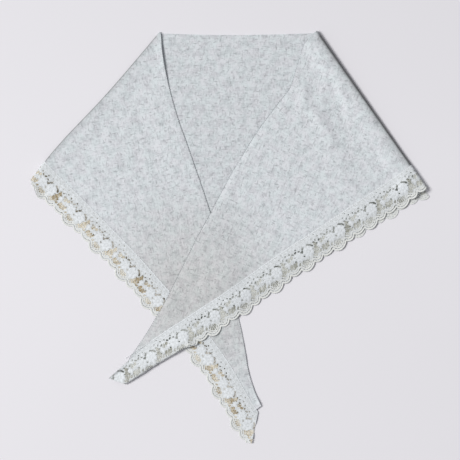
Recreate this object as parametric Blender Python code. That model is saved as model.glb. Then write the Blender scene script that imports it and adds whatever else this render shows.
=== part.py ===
"""Triangular knit shawl with a scalloped lace edging, laid flat with both ends folded in.

The body is one triangle of brushed knit. Its two ends are folded over the front, the left one
first, so that they cross and leave a V at the neck. A lace edging is sewn on the right side of
the two short legs: it lies on top of the folded ends and under the back layer. Seen from above,
+Y points to the neck edge and +X to the right. Plan sizes are in millimetres, and the meshes are
in metres.
"""

import math
from collections import namedtuple

import bpy
import numpy as np
from mathutils import Matrix, Vector
from mathutils.geometry import delaunay_2d_cdt

MM = 0.001

# ------------------------------------------------------------------ driving dimensions, mm
CLOTH = 1.6            # wall of the brushed knit
LACE = 1.0             # wall of the lace
GAP = 0.3              # clearance wherever two pieces meet
BAND = 42.5            # lace from its heading to the tips of its scallops
OVERHANG = 25.0        # lace past the raw edge of the cloth
NECK_DIP = 2.5         # the neck edge is slightly hollow
INSIDE = (0.0, 60.0)   # a point well inside the shawl
APEX = (11.0, -94.0)   # point of the back's lace, under both ends
BACK_SHOWS = 8.5       # the back's lace shows this far past the right end's, near its corner

# Cloth mesh and the way a layer settles over what lies under it
CLOTH_CELL = 13.0      # spacing of the cloth's mesh
BACK_CELL = 24.0       # the back is flat, so its mesh is coarser
MAP_STEP = 2.0         # spacing of the height map
MAP_HALF = 330.0       # half the side of the height map
CLOTH_REACH = 22.0     # a folded end keeps clear of edges under it for this far
CLOTH_SOFT = 8.0       # and its slope is evened out over this radius
BACK_REACH = 34.0
LACE_REACH = 16.0
LACE_SOFT = 4.0
EDGE_CLEAR = 0.45      # inner points keep this share of a cell from an edge, or from a fold
PAST_FOLD = 24.0       # a folded piece is drawn this far past its fold, then trimmed
PAST_ENDS = 20.0       # lines across a piece run on this far past both its edges
TRIM_HALF = 200.0      # half the length of a trimming line
CURVE_STEPS = 24       # fine steps between two sections
RIM_STEP = 4.0         # spacing along the line through the scallop tips
RIM_EVENING = 6        # passes that even out its direction

# One row for each section of a folded end, from the fold to its point: the long edge, the line
# through the tips of the scallops, and how much of the lace is tucked under there.
Section = namedtuple("Section", "long_x long_y rim_x rim_y tuck")
LEFT_SECTIONS = (
    Section(-99.6, 287.0, -283.1, 69.8, 0.0),
    Section(-97.2, 259.9, -256.9, 43.7, 0.0),
    Section(-91.3, 226.2, -230.8, 17.6, 0.0),
    Section(-83.4, 194.1, -204.8, -8.8, 0.0),
    Section(-74.4, 164.3, -179.0, -35.3, 0.0),
    Section(-64.9, 137.8, -153.8, -62.3, 0.0),
    Section(-55.3, 110.3, -129.3, -90.0, 0.0),
    Section(-31.0, 38.3, -104.5, -117.5, 0.0),
    Section(-12.7, -30.2, -79.3, -144.5, 0.0),
    Section(9.1, -110.4, -56.1, -173.3, 0.0),
    Section(18.2, -156.5, -35.4, -203.9, 0.0),
    Section(22.8, -184.2, -17.1, -236.1, 0.0),
    Section(31.2, -212.2, 2.1, -267.6, 0.0),
    Section(41.2, -234.0, 22.0, -300.0, 0.0),
)
RIGHT_SECTIONS = (
    Section(115.0, 287.6, 271.8, 65.5, 0.0),
    Section(101.5, 271.3, 256.3, 54.4, 0.0),
    Section(92.1, 243.7, 239.2, 42.7, 0.0),
    Section(81.9, 211.7, 205.7, 20.7, 0.0),
    Section(64.9, 188.6, 171.7, -2.2, 0.0),
    Section(37.4, 151.6, 138.5, -24.5, 0.0),
    Section(7.1, 103.3, 105.0, -46.4, 0.0),
    Section(-13.0, 67.5, 71.3, -69.8, 0.0),
    Section(-28.7, 37.2, 38.7, -93.1, 0.0),
    Section(-50.1, -2.3, 4.9, -116.5, 0.0),
    Section(-71.1, -44.4, -28.6, -138.2, 0.5),
    Section(-97.4, -96.2, -45.0, -149.3, 2.5),
    Section(-122.3, -137.5, -62.3, -160.1, 8.5),
    Section(-136.5, -158.5, -96.5, -182.6, 10.5),
    Section(-146.2, -172.2, -165.0, -226.0, 10.5),
)

# Where the lace stops at the point of a folded end, from the hem on.
LEFT_END = ((38.0, -236.0), (27.5, -286.5), (8.0, -284.0))
RIGHT_END = ((-146.2, -172.2), (-172.5, -195.5), (-147.0, -204.5))

# One row for each fold: how high the cloth stands at the neck and at the foot, and how far
# in from the fold it settles.
Roll = namedtuple("Roll", "neck foot settle")
LEFT_ROLL = Roll(neck=2.6, foot=2.4, settle=26.0)
RIGHT_ROLL = Roll(neck=5.0, foot=3.6, settle=34.0)
ROLL_STEPS = 6         # facets round a half turn of cloth
ROLL_COLUMNS = 20      # points along it
WRAP_STEPS = 8         # facets round the lace on it
WRAP_END = 0.86        # share of the half turn that the front lace covers

# One row for each soft swell of a layer: its middle, its run, its half length and half width,
# and its height.
Swell = namedtuple("Swell", "x y degrees half_length half_width height")
LEFT_SWELLS = (
    Swell(-150.0, 95.0, -50.0, 80.0, 22.0, 1.2),
)
RIGHT_SWELLS = (
    Swell(122.0, 165.0, -60.0, 75.0, 14.0, 3.2),
    Swell(150.0, 95.0, -52.0, 60.0, 18.0, 1.8),
    Swell(-18.0, -60.0, 35.0, 55.0, 18.0, 2.0),
    Swell(-158.0, -190.0, 30.0, 26.0, 16.0, 4.5),
)

# Lace repeat, centred on a large scallop. Along it runs from the left end of the shawl to the
# right one, and in is the distance from the line through the scallop tips towards the cloth.
PITCH = 52.8
NOTCH = 6.4            # depth of the notches between scallops
BULGE = 0.75           # roundness of a scallop: 1 is a sine, less is fuller
HEADING_WAVE = 2.2     # the heading swells and falls along the repeat
HEADING_STEPS = 4
SOLID_END = 2.5        # solid lace left round a gap at the end of a strip
END_STEP = 8.0         # spacing of points along the end of a strip

Scallop = namedtuple("Scallop", "start width tip steps")
SCALLOPS = (
    Scallop(-10.5, 21.0, -0.8, 6),
    Scallop(10.5, 15.9, 1.2, 4),
    Scallop(26.4, 15.9, 2.8, 4),
)

Hole = namedtuple("Hole", "along into half_along half_in turn bend")
HOLES = (
    Hole(-12.0, 33.0, 7.6, 1.7, 0.0, 3.0),     # crescent over the rosette
    Hole(16.0, 31.6, 5.6, 2.0, 4.0, 0.0),      # slot between two rosettes
    Hole(17.0, 18.6, 4.6, 3.5, 0.0, 0.0),      # net beside the leaves
    Hole(-22.0, 20.0, 3.2, 4.2, -20.0, 0.0),   # net beside the rosette
    Hole(-4.4, 11.6, 2.4, 2.6, 15.0, 0.0),     # fan in the large scallop
    Hole(4.4, 11.6, 2.4, 2.6, -15.0, 0.0),
    Hole(30.5, 13.2, 3.0, 2.2, 0.0, 0.0),      # small scallop
)
HOLE_SIDES = 6

# Where each stretch of lace starts in the repeat: the sense in which it runs, its first large
# scallop, from the fold on, and how blunt its corner is at the fold.
Strip = namedtuple("Strip", "sense first blunt")
RIGHT_FRONT_STRIP = Strip(sense=1, first=37.0, blunt=0.0)
RIGHT_BACK_STRIP = Strip(sense=-1, first=5.3, blunt=0.0)
LEFT_FRONT_STRIP = Strip(sense=-1, first=16.8, blunt=8.6)
LEFT_BACK_STRIP = Strip(sense=1, first=28.5, blunt=8.6)
BLUNT_SLOPE = 0.5      # the blunt corner fades out at this rate along the rim

# One row for each place where the laid shawl is drawn out of line: its middle, how far it
# reaches, and the shift there.
Pull = namedtuple("Pull", "x y reach shift_x shift_y")
PULLS = (
    Pull(-250.0, 125.0, 110.0, -4.7, 4.1),
)

# Colour and roughness of each material
Finish = namedtuple("Finish", "colour roughness")
CLOTH_FINISH = Finish(colour=(0.58, 0.61, 0.635), roughness=0.95)
LACE_FINISH = Finish(colour=(0.80, 0.83, 0.845), roughness=0.9)
CREASE = math.radians(40.0)   # edges sharper than this are shaded as edges


# ------------------------------------------------------------------ plan geometry
def smooth(points, step):
    """Catmull-Rom curve through the points, resampled at about the given spacing."""
    knots = np.array([2 * np.array(points[0]) - points[1], *points,
                      2 * np.array(points[-1]) - points[-2]], float)
    fine = []
    for a, b, c, d in zip(knots, knots[1:], knots[2:], knots[3:]):
        t = np.linspace(0, 1, CURVE_STEPS, endpoint=False)[:, None]
        fine.append(0.5 * (2 * b + (c - a) * t + (2 * a - 5 * b + 4 * c - d) * t ** 2
                           + (3 * b - a - 3 * c + d) * t ** 3))
    fine = np.vstack([*fine, knots[-2:-1]])
    run = np.concatenate([[0], np.cumsum(np.linalg.norm(np.diff(fine, axis=0), axis=1))])
    marks = np.linspace(0, run[-1], max(2, round(run[-1] / step) + 1))
    return np.column_stack([np.interp(marks, run, fine[:, k]) for k in (0, 1)])


def cross(a, b):
    """Third component of the cross product of plan vectors."""
    return a[..., 0] * b[..., 1] - a[..., 1] * b[..., 0]


class Rim:
    """Line through the scallop tips, with the cloth on the side of its inward normal."""

    def __init__(self, points, inward):
        """Args: points of the line from the fold on; a point on the cloth's side."""
        self.line = smooth(points, RIM_STEP)
        steps = np.diff(self.line, axis=0)
        self.run = np.concatenate([[0], np.cumsum(np.linalg.norm(steps, axis=1))])
        tangent = np.gradient(self.line, self.run, axis=0)
        for _ in range(RIM_EVENING):
            tangent[1:-1] = (tangent[:-2] + 2 * tangent[1:-1] + tangent[2:]) / 4
        self.tangent = tangent / np.linalg.norm(tangent, axis=1)[:, None]
        side = np.sign(cross(self.tangent[0], np.array(inward) - self.line[0]))
        self.normal = side * np.column_stack([-self.tangent[:, 1], self.tangent[:, 0]])
        self.length = self.run[-1]

    def point(self, along, into):
        """Plan point at a distance along the rim and a distance in towards the cloth."""
        along = np.asarray(along, float)
        held = np.clip(along, 0, self.length)
        base = np.stack([np.interp(held, self.run, self.line[:, k]) for k in (0, 1)], -1)
        tangent = np.stack([np.interp(held, self.run, self.tangent[:, k]) for k in (0, 1)], -1)
        normal = np.stack([np.interp(held, self.run, self.normal[:, k]) for k in (0, 1)], -1)
        return base + (along - held)[..., None] * tangent + np.asarray(into)[..., None] * normal


class Fold:
    """Fold line from the neck edge to the rim, and the half turn of cloth round it."""

    def __init__(self, neck, foot, roll, centre):
        """Args: both ends of the line; its roll; a point inside the shawl."""
        self.neck = np.array(neck)
        self.length = math.dist(neck, foot)
        self.along = (np.array(foot) - self.neck) / self.length
        self.out = np.array([-self.along[1], self.along[0]])
        if (np.array(centre) - self.neck) @ self.out > 0:
            self.out = -self.out
        self.roll = roll

    def locate(self, plan):
        """Distances along the fold and out past it."""
        return (plan - self.neck) @ self.along, (plan - self.neck) @ self.out

    def radius(self, along):
        """Outer radius of the half turn."""
        share = along / self.length
        return self.roll.neck + (self.roll.foot - self.roll.neck) * share

    def row(self, share):
        """Line across the whole fold at a share of the half turn."""
        ends = []
        for along in (-PAST_ENDS, self.length + PAST_ENDS):
            out = share * math.pi * self.radius(along)
            ends.append(self.neck + along * self.along + out * self.out)
        return ends


# ------------------------------------------------------------------ layers
class Heap:
    """Height map of what already lies on the table."""

    def __init__(self):
        self.axis = np.arange(-MAP_HALF, MAP_HALF + MAP_STEP, MAP_STEP)
        self.top = np.zeros((len(self.axis), len(self.axis)))

    def stamp(self, points, triangles):
        """Raise the map to the tops of a layer's triangles."""
        for corners in points[triangles]:
            low = np.searchsorted(self.axis, corners[:, :2].min(axis=0))
            high = np.searchsorted(self.axis, corners[:, :2].max(axis=0), "right")
            x, y = np.meshgrid(self.axis[low[0]:high[0]], self.axis[low[1]:high[1]],
                               indexing="ij")
            plan = np.stack([x, y], -1)
            a, b, c = corners[:, :2]
            area = cross(b - a, c - a)
            if abs(area) < 1e-9:
                continue
            wb = cross(plan - a, c - a) / area
            wc = cross(b - a, plan - a) / area
            covered = (wb >= -0.01) & (wc >= -0.01) & (wb + wc <= 1.01)
            height = corners[0, 2] + wb * (corners[1, 2] - corners[0, 2])
            height = height + wc * (corners[2, 2] - corners[0, 2])
            view = self.top[low[0]:high[0], low[1]:high[1]]
            np.maximum(view, np.where(covered, height, 0), out=view)

    def drape(self, reach, soft):
        """Lowest surface of a layer laid on the heap, as a function of plan points.

        Args: how far the layer stays up past what it lies on; radius of its evening out.
        """
        surface = np.where(self.top > 0, self.top + GAP, 0)
        surface = self.filtered(surface, reach, np.maximum.reduce)
        surface = self.filtered(surface, soft, lambda layers: np.mean(layers, axis=0))

        def height(plan):
            """Bilinear reading of the settled surface."""
            spot = (plan - self.axis[0]) / MAP_STEP
            cell = np.clip(np.floor(spot).astype(int), 0, len(self.axis) - 2)
            fx, fy = np.moveaxis(spot - cell, -1, 0)
            i, j = np.moveaxis(cell, -1, 0)
            near = surface[i, j] * (1 - fy) + surface[i, j + 1] * fy
            far = surface[i + 1, j] * (1 - fy) + surface[i + 1, j + 1] * fy
            return near * (1 - fx) + far * fx

        return height

    @staticmethod
    def filtered(surface, radius, combine):
        """Combine each cell with those within the radius."""
        cells = int(radius / MAP_STEP)
        layers = []
        for i in range(-cells, cells + 1):
            for j in range(-cells, cells + 1):
                if i * i + j * j <= cells * cells:
                    layers.append(np.roll(surface, (i, j), (0, 1)))
        return combine(layers)


def swell(plan, swells):
    """Height that soft swells add to a layer."""
    total = np.zeros(plan.shape[:-1])
    for row in swells:
        turn = math.radians(row.degrees)
        x = plan[..., 0] - row.x
        y = plan[..., 1] - row.y
        along = (x * math.cos(turn) + y * math.sin(turn)) / row.half_length
        across = (y * math.cos(turn) - x * math.sin(turn)) / row.half_width
        total += row.height * np.exp(-2 * (along ** 2 + across ** 2))
    return total


def flat(drape, wall):
    """Placing of a layer that just lies on the heap. Returns both faces in 3-D."""
    def place(plan):
        low = drape(plan)
        return np.column_stack([plan, low]), np.column_stack([plan, low + wall])
    return place


def folded(fold, back, drape, swells, wall, offset=0.0):
    """Placing of a layer that comes round a fold and settles on the heap.

    Args: the fold; the back's underside; the layer's drape and swells; its wall; how far it
        stands off the cloth of the roll.
    """
    def place(plan):
        along, out = fold.locate(plan)
        line = plan - out[:, None] * fold.out
        radius = fold.radius(along)
        middle = back(line) + radius
        settle = np.clip(-out / fold.roll.settle, 0, 1)
        stay = (1 + np.cos(math.pi * settle)) / 2
        crown = middle + radius + offset - (CLOTH if offset == 0 else 0)
        rest = drape(plan)
        low = rest + np.maximum(crown - rest, 0) * stay + swell(plan, swells) * (1 - stay)
        turn = math.pi * np.clip(out / (math.pi * radius), 0, 1)
        faces = []
        for lift in (0, wall):
            level = radius + offset - (CLOTH if offset == 0 else 0) + lift
            sunk = line + (level * np.sin(turn))[:, None] * fold.out
            round_z = middle + level * np.cos(turn)
            past = out > 0
            xy = np.where(past[:, None], sunk, plan)
            faces.append(np.column_stack([xy, np.where(past, round_z, low + lift)]))
        return faces
    return place


# ------------------------------------------------------------------ solids
def inside(plan, loop):
    """Whether plan points lie in a closed loop."""
    hit = np.zeros(len(plan), bool)
    for a, b in zip(loop, np.roll(loop, -1, axis=0)):
        if a[1] == b[1]:
            continue
        crossing = (a[1] > plan[:, 1]) != (b[1] > plan[:, 1])
        x = a[0] + (plan[:, 1] - a[1]) * (b[0] - a[0]) / (b[1] - a[1])
        hit ^= crossing & (plan[:, 0] < x)
    return hit


def grid(loop, cell):
    """Triangular grid of plan points inside a loop, clear of its edge."""
    low, high = loop.min(axis=0), loop.max(axis=0)
    rows = []
    for k, y in enumerate(np.arange(low[1], high[1], cell * math.sqrt(3) / 2)):
        x = np.arange(low[0] + (k % 2) * cell / 2, high[0], cell)
        rows.append(np.column_stack([x, np.full(len(x), y)]))
    points = np.vstack(rows)
    points = points[inside(points, loop)]
    near = np.full(len(points), np.inf)
    for a, b in zip(loop, np.roll(loop, -1, axis=0)):
        share = np.clip((points - a) @ (b - a) / max((b - a) @ (b - a), 1e-9), 0, 1)
        near = np.minimum(near, np.linalg.norm(points - a - share[:, None] * (b - a), axis=1))
    return points[near > cell * EDGE_CLEAR]


def triangulate(outline, holes, lines, trims, extra):
    """Triangles of a plan region.

    Args: outline and holes, as closed loops; lines that the triangles keep to; trims, as
        pairs of a point and a direction that is cut away; extra points.
    """
    points = []
    edges = []
    for loop in (outline, *holes):
        first = len(points)
        points.extend(loop)
        edges.extend((first + k, first + (k + 1) % len(loop)) for k in range(len(loop)))
    long_lines = list(lines)
    for point, away in trims:
        run = np.array([-away[1], away[0]]) * TRIM_HALF
        long_lines.append((point - run, point + run))
    for a, b in long_lines:
        points.extend((a, b))
        edges.append((len(points) - 2, len(points) - 1))
    points.extend(extra)
    result = delaunay_2d_cdt([Vector(p) for p in points], edges, [], 0, 1e-4)
    plan = np.array(result[0])
    triangles = np.array(result[2])
    middle = plan[triangles].mean(axis=1)
    keep = inside(middle, outline)
    for hole in holes:
        keep &= ~inside(middle, hole)
    for point, away in trims:
        keep &= (middle - point) @ away < 0
    triangles = triangles[keep]
    a, b, c = np.moveaxis(plan[triangles], 1, 0)
    turned = cross(b - a, c - a) < 0
    triangles[turned] = triangles[turned][:, ::-1]
    used, index = np.unique(triangles, return_inverse=True)
    return plan[used], index.reshape(-1, 3)


def solid(name, plan, triangles, place, material):
    """Closed solid between the two faces of a layer. Returns the points of its upper face."""
    low, high = place(plan)
    count = len(plan)
    sides = {}
    for tri in triangles:
        for a, b in zip(tri, np.roll(tri, -1)):
            sides[(int(a), int(b))] = True
    walls = [(a, b, b + count, a + count) for a, b in sides if (b, a) not in sides]
    faces = [tuple(int(k) for k in tri[::-1]) for tri in triangles]
    faces += [tuple(int(k) + count for k in tri) for tri in triangles]
    mesh = bpy.data.meshes.new(name)
    mesh.from_pydata((np.vstack([low, high]) * MM).tolist(), [], faces + walls)
    mesh.validate()
    mesh.shade_smooth()
    mesh.set_sharp_from_angle(angle=CREASE)
    mesh.materials.append(material)
    body = bpy.data.objects.new(name, mesh)
    bpy.context.collection.objects.link(body)
    return high


def painted(name, finish):
    """Principled material of a piece."""
    material = bpy.data.materials.new(name)
    material.use_nodes = True
    shader = material.node_tree.nodes["Principled BSDF"]
    shader.inputs["Base Color"].default_value = (*finish.colour, 1)
    shader.inputs["Roughness"].default_value = finish.roughness
    shader.inputs["Metallic"].default_value = 0.0
    return material


# ------------------------------------------------------------------ lace
def lace_outline(rim, strip, start, stop, tuck):
    """Scalloped outline of a lace strip.

    Args: the rim; the place of the strip in the repeat; the distances along the rim where it
        begins and stops; the width tucked under, as a function of the distance along.
    """
    outer = []
    inner = []
    for k in range(math.floor((start - strip.first) / PITCH) - 1,
                   math.ceil((stop - strip.first) / PITCH) + 2):
        middle = strip.first + k * PITCH
        for row in SCALLOPS:
            for share in np.arange(row.steps) / row.steps:
                bulge = math.sin(math.pi * share) ** BULGE
                along = middle + strip.sense * (row.start + row.width * share)
                outer.append((along, NOTCH - (NOTCH - row.tip) * bulge))
        for share in np.arange(HEADING_STEPS) / HEADING_STEPS:
            wave = HEADING_WAVE * (1 - math.cos(2 * math.pi * share)) / 2
            inner.append((middle + PITCH * share, BAND - wave))
    outer = sorted(row for row in outer if start < row[0] < stop)
    outer = [(along, max(into, tuck(along), strip.blunt - BLUNT_SLOPE * abs(along)))
             for along, into in outer]
    inner = [row for row in inner if start < row[0] < stop]
    loop = np.array([(start, NOTCH), *outer, (stop, max(NOTCH, tuck(stop))), (stop, BAND),
                     *inner[::-1], (start, BAND)])
    return rim.point(loop[:, 0], loop[:, 1])


def lace_holes(rim, strip, start, stop, tuck, trims):
    """Gaps of a lace strip, apart from those that would break its ends."""
    loops = []
    angle = 2 * math.pi * np.arange(HOLE_SIDES) / HOLE_SIDES
    for k in range(math.floor((start - strip.first) / PITCH) - 1,
                   math.ceil((stop - strip.first) / PITCH) + 2):
        for hole in HOLES:
            x = hole.half_along * np.cos(angle)
            y = hole.half_in * np.sin(angle)
            y = y + hole.bend * (0.5 - (x / hole.half_along) ** 2)
            turn = math.radians(hole.turn)
            along = hole.along + x * math.cos(turn) - y * math.sin(turn)
            into = hole.into + x * math.sin(turn) + y * math.cos(turn)
            along = strip.first + k * PITCH + strip.sense * along
            loop = rim.point(along, into)
            clear = start + SOLID_END < along.min() and along.max() < stop - SOLID_END
            clear = clear and into.min() > tuck(along.mean()) + SOLID_END
            for point, away in trims:
                clear = clear and ((loop - point) @ away).max() < -SOLID_END
            if clear:
                loops.append(loop)
    return loops


# ------------------------------------------------------------------ the shawl
def clear_scene():
    """Remove every object that the scene starts with."""
    for item in list(bpy.data.objects):
        bpy.data.objects.remove(item, do_unlink=True)


def stretch(start, end, step):
    """Points from one place to another, without the last."""
    start, end = np.array(start), np.array(end)
    count = max(1, round(np.linalg.norm(end - start) / step))
    return start + (end - start) * (np.arange(count) / count)[:, None]


def meet(a, along_a, b, along_b):
    """Plan point where two lines meet."""
    return a + along_a * cross(b - a, along_b) / cross(along_a, along_b)


def add_back_lace(name, rim, strip, fold, mitre, heap):
    """Flat lace under one leg of the back, from the fold to the mitre."""
    foot = fold.neck + fold.length * fold.along - GAP * fold.out
    trims = [(foot, fold.out), mitre]
    start, stop = -PAST_ENDS, rim.length + PAST_ENDS
    outline = lace_outline(rim, strip, start, stop, lambda along: 0.0)
    holes = lace_holes(rim, strip, start, stop, lambda along: 0.0, trims)
    plan, triangles = triangulate(outline, holes, [], trims, [])
    table = flat(lambda points: np.zeros(len(points)), LACE)
    top = solid(name, plan, triangles, table, painted(name, LACE_FINISH))
    heap.stamp(top, triangles)
    return len(holes)


def add_back(left, right, left_rim, right_rim, heap):
    """Back layer. Returns a reading of its underside."""
    corners = []
    for fold, rim in ((right, right_rim), (left, left_rim)):
        neck = fold.neck - GAP * fold.out
        leg = rim.point(0.0, OVERHANG)
        corners.append((neck, meet(neck, fold.along, leg, rim.tangent[0]), leg))
    (right_neck, right_foot, right_leg), (left_neck, left_foot, left_leg) = corners
    point = meet(right_leg, right_rim.tangent[0], left_leg, left_rim.tangent[0])
    neck_edge = stretch(left_neck, right_neck, BACK_CELL)
    middle = (left_neck[0] + right_neck[0]) / 2
    half = (right_neck[0] - left_neck[0]) / 2
    neck_edge[:, 1] -= NECK_DIP * (1 - ((neck_edge[:, 0] - middle) / half) ** 2)
    outline = np.vstack([stretch(right_neck, right_foot, BACK_CELL),
                         stretch(right_foot, point, BACK_CELL),
                         stretch(point, left_foot, BACK_CELL),
                         stretch(left_foot, left_neck, BACK_CELL), neck_edge])
    drape = heap.drape(BACK_REACH, CLOTH_SOFT)
    plan, triangles = triangulate(outline, [], [], [], grid(outline, BACK_CELL))
    top = solid("back", plan, triangles, flat(drape, CLOTH), painted("back", CLOTH_FINISH))
    heap.stamp(top, triangles)
    return drape


def add_front(name, sections, fold, rim, swells, back, heap):
    """Folded end of the body, with the half turn of cloth at its fold."""
    long_edge = smooth([(row.long_x, row.long_y) for row in sections], CLOTH_CELL)
    leg = rim.point(np.arange(-PAST_FOLD, rim.length - BAND, CLOTH_CELL), OVERHANG)
    outline = np.vstack([fold.neck + PAST_FOLD * fold.out, long_edge, leg[::-1]])
    columns = []
    for along in np.linspace(0, fold.length - OVERHANG, ROLL_COLUMNS + 2)[1:-1]:
        for turn in np.linspace(0, math.pi, ROLL_STEPS + 1):
            columns.append(fold.neck + along * fold.along + turn * fold.radius(along) * fold.out)
    cells = grid(outline, CLOTH_CELL)
    cells = cells[fold.locate(cells)[1] < -EDGE_CLEAR * CLOTH_CELL]
    rows = [fold.row(k / ROLL_STEPS) for k in range(ROLL_STEPS)]
    end = np.array(fold.row(1.0))
    away = np.array([-(end[1] - end[0])[1], (end[1] - end[0])[0]])
    away = away / np.linalg.norm(away) * np.sign(away @ fold.out)
    trims = [(end.mean(axis=0), away)]
    plan, triangles = triangulate(outline, [], rows, trims, np.vstack([cells, columns]))
    drape = heap.drape(CLOTH_REACH, CLOTH_SOFT)
    place = folded(fold, back, drape, swells, CLOTH)
    top = solid(name, plan, triangles, place, painted(name, CLOTH_FINISH))
    heap.stamp(top, triangles)


def end_trims(end, centre):
    """Trims along the line where the lace stops, which cut away the side past the shawl."""
    trims = []
    for a, b in zip(end, end[1:]):
        run = (np.array(b) - a) / math.dist(a, b)
        away = np.array([-run[1], run[0]])
        trims.append((np.array(a), away * np.sign(away @ (np.array(a) - centre))))
    return trims


def add_front_lace(name, fold, rim, strip, sections, end, back, heap):
    """Lace on a folded end, from the underside of its fold to its point."""
    tips = np.array([(row.rim_x, row.rim_y) for row in sections])
    marks = np.cumsum([0, *np.linalg.norm(np.diff(tips, axis=0), axis=1)])
    widths = [row.tuck for row in sections]

    def tuck(along):
        """Width of lace tucked under."""
        return float(np.interp(along, marks, widths))

    wrap = fold.row(WRAP_END)
    trims = [(wrap[1], fold.out), *end_trims(end, rim.point(rim.length * 0.6, BAND))]
    rows = [fold.row(WRAP_END * k / WRAP_STEPS) for k in range(WRAP_STEPS)]
    start = -math.pi * fold.radius(fold.length) - RIM_STEP
    outline = lace_outline(rim, strip, start, rim.length, tuck)
    holes = lace_holes(rim, strip, 0.0, rim.length, tuck, trims)
    edge = np.vstack([stretch(a, b, END_STEP) for a, b in zip(end, end[1:])])
    plan, triangles = triangulate(outline, holes, rows, trims, edge)
    place = folded(fold, back, heap.drape(LACE_REACH, LACE_SOFT), (), LACE, GAP)
    top = solid(name, plan, triangles, place, painted(name, LACE_FINISH))
    heap.stamp(top, triangles)
    return len(holes)


def pull():
    """Draw the laid layers out of line, all by the same shifts."""
    for item in bpy.data.objects:
        for corner in item.data.vertices:
            for row in PULLS:
                away = math.dist(corner.co.xy / MM, (row.x, row.y)) / row.reach
                share = math.exp(-2 * away ** 2) * MM
                corner.co.xy += Vector((row.shift_x, row.shift_y)) * share


def centre_on_origin():
    """Move the shawl so that the origin is under the middle of its box."""
    meshes = [item.data for item in bpy.data.objects]
    points = np.array([corner.co for mesh in meshes for corner in mesh.vertices])
    middle = (points.min(axis=0) + points.max(axis=0)) / 2
    for mesh in meshes:
        mesh.transform(Matrix.Translation((-middle[0], -middle[1], 0)))


def main():
    """Lay the shawl, from the table up."""
    clear_scene()
    heap = Heap()
    centre = np.array(INSIDE)
    apex = np.array(APEX)
    folds = []
    rims = []
    for sections, roll in ((LEFT_SECTIONS, LEFT_ROLL), (RIGHT_SECTIONS, RIGHT_ROLL)):
        first = sections[0]
        folds.append(Fold((first.long_x, first.long_y), (first.rim_x, first.rim_y), roll, centre))
        rims.append(Rim([(row.rim_x, row.rim_y) for row in sections], centre))
    left, right = folds
    left_foot = left.neck + left.length * left.along
    right_foot = right.neck + (right.length + BACK_SHOWS) * right.along
    left_back = Rim([left_foot, apex], centre)
    right_back = Rim([right_foot, apex], centre)
    across = np.array([1.0, 0.0])
    holes = add_back_lace("lace_back_left", left_back, LEFT_BACK_STRIP, left,
                          (apex - across * GAP / 2, across), heap)
    holes += add_back_lace("lace_back_right", right_back, RIGHT_BACK_STRIP, right,
                           (apex + across * GAP / 2, -across), heap)
    back = add_back(left, right, left_back, right_back, heap)
    add_front("left_front", LEFT_SECTIONS, left, rims[0], LEFT_SWELLS, back, heap)
    holes += add_front_lace("lace_left_front", left, rims[0], LEFT_FRONT_STRIP, LEFT_SECTIONS,
                            LEFT_END, back, heap)
    add_front("right_front", RIGHT_SECTIONS, right, rims[1], RIGHT_SWELLS, back, heap)
    holes += add_front_lace("lace_right_front", right, rims[1], RIGHT_FRONT_STRIP,
                            RIGHT_SECTIONS, RIGHT_END, back, heap)
    pull()
    centre_on_origin()
    print("gaps cut through the lace:", holes)


main()
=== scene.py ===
"""Looks of the laid lace shawl: its knit body, lace edging and sewing, on a pale floor.

The body is one thin shell, folded over at both ends as the real triangle is. The lace is charted
as one repeat and laid along the two short legs, over the folded ends and under the back. Plan
sizes are in millimetres, with +Y towards the neck edge, and are turned into the frame's metres
where a mesh is made.
"""

import logging
import math
from dataclasses import dataclass, field
from enum import Enum
from typing import Callable, Iterable, NamedTuple, Optional, Sequence

import bpy
import numpy as np
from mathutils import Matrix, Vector
from mathutils.geometry import delaunay_2d_cdt


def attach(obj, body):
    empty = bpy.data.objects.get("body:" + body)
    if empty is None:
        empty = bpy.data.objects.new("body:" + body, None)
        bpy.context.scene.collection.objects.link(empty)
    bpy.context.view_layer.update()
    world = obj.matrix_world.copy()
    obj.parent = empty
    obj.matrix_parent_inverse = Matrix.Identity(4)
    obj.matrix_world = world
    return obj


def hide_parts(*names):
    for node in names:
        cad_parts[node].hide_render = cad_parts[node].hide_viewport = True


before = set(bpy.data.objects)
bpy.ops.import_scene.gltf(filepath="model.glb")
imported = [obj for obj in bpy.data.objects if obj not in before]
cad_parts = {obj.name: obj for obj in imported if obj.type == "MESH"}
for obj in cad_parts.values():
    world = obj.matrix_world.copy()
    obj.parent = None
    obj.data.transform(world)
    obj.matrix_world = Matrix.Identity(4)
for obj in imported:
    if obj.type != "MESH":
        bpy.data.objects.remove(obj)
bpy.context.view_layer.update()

log = logging.getLogger("shawl")

MM = 0.001
Array = np.ndarray
Piece = bpy.types.Object
Material = bpy.types.Material
Socket = bpy.types.NodeSocket
Colour = tuple[float, float, float]
Faces = Sequence[Sequence[int]]
Height = Callable[[Array], Array]
Lift = Callable[[Array, Array], Array]


# ---------- tables of the laid shawl, mm
class Section(NamedTuple):
    """Station of a folded end: its long edge, the scallop tips and the lace tucked under."""

    long_x: float
    long_y: float
    rim_x: float
    rim_y: float
    tuck: float = 0.0


class Roll(NamedTuple):
    """Half turn at a fold.

    Its radius at the neck and at the foot, how far in it settles, its plumpness, how much painted
    shade darkens the cloth on its outside, and how far in that painted shade fades.
    """

    neck: float
    foot: float
    settle: float
    plump: float
    fold_shade: float
    fade: float


class Swell(NamedTuple):
    """Soft ridge of a layer, or a trough where its height is below nought."""

    x: float
    y: float
    degrees: float
    half_length: float
    half_width: float
    height: float


class Pull(NamedTuple):
    """Place where the laid shawl is drawn out of line."""

    x: float
    y: float
    reach: float
    shift_x: float
    shift_y: float


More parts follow.
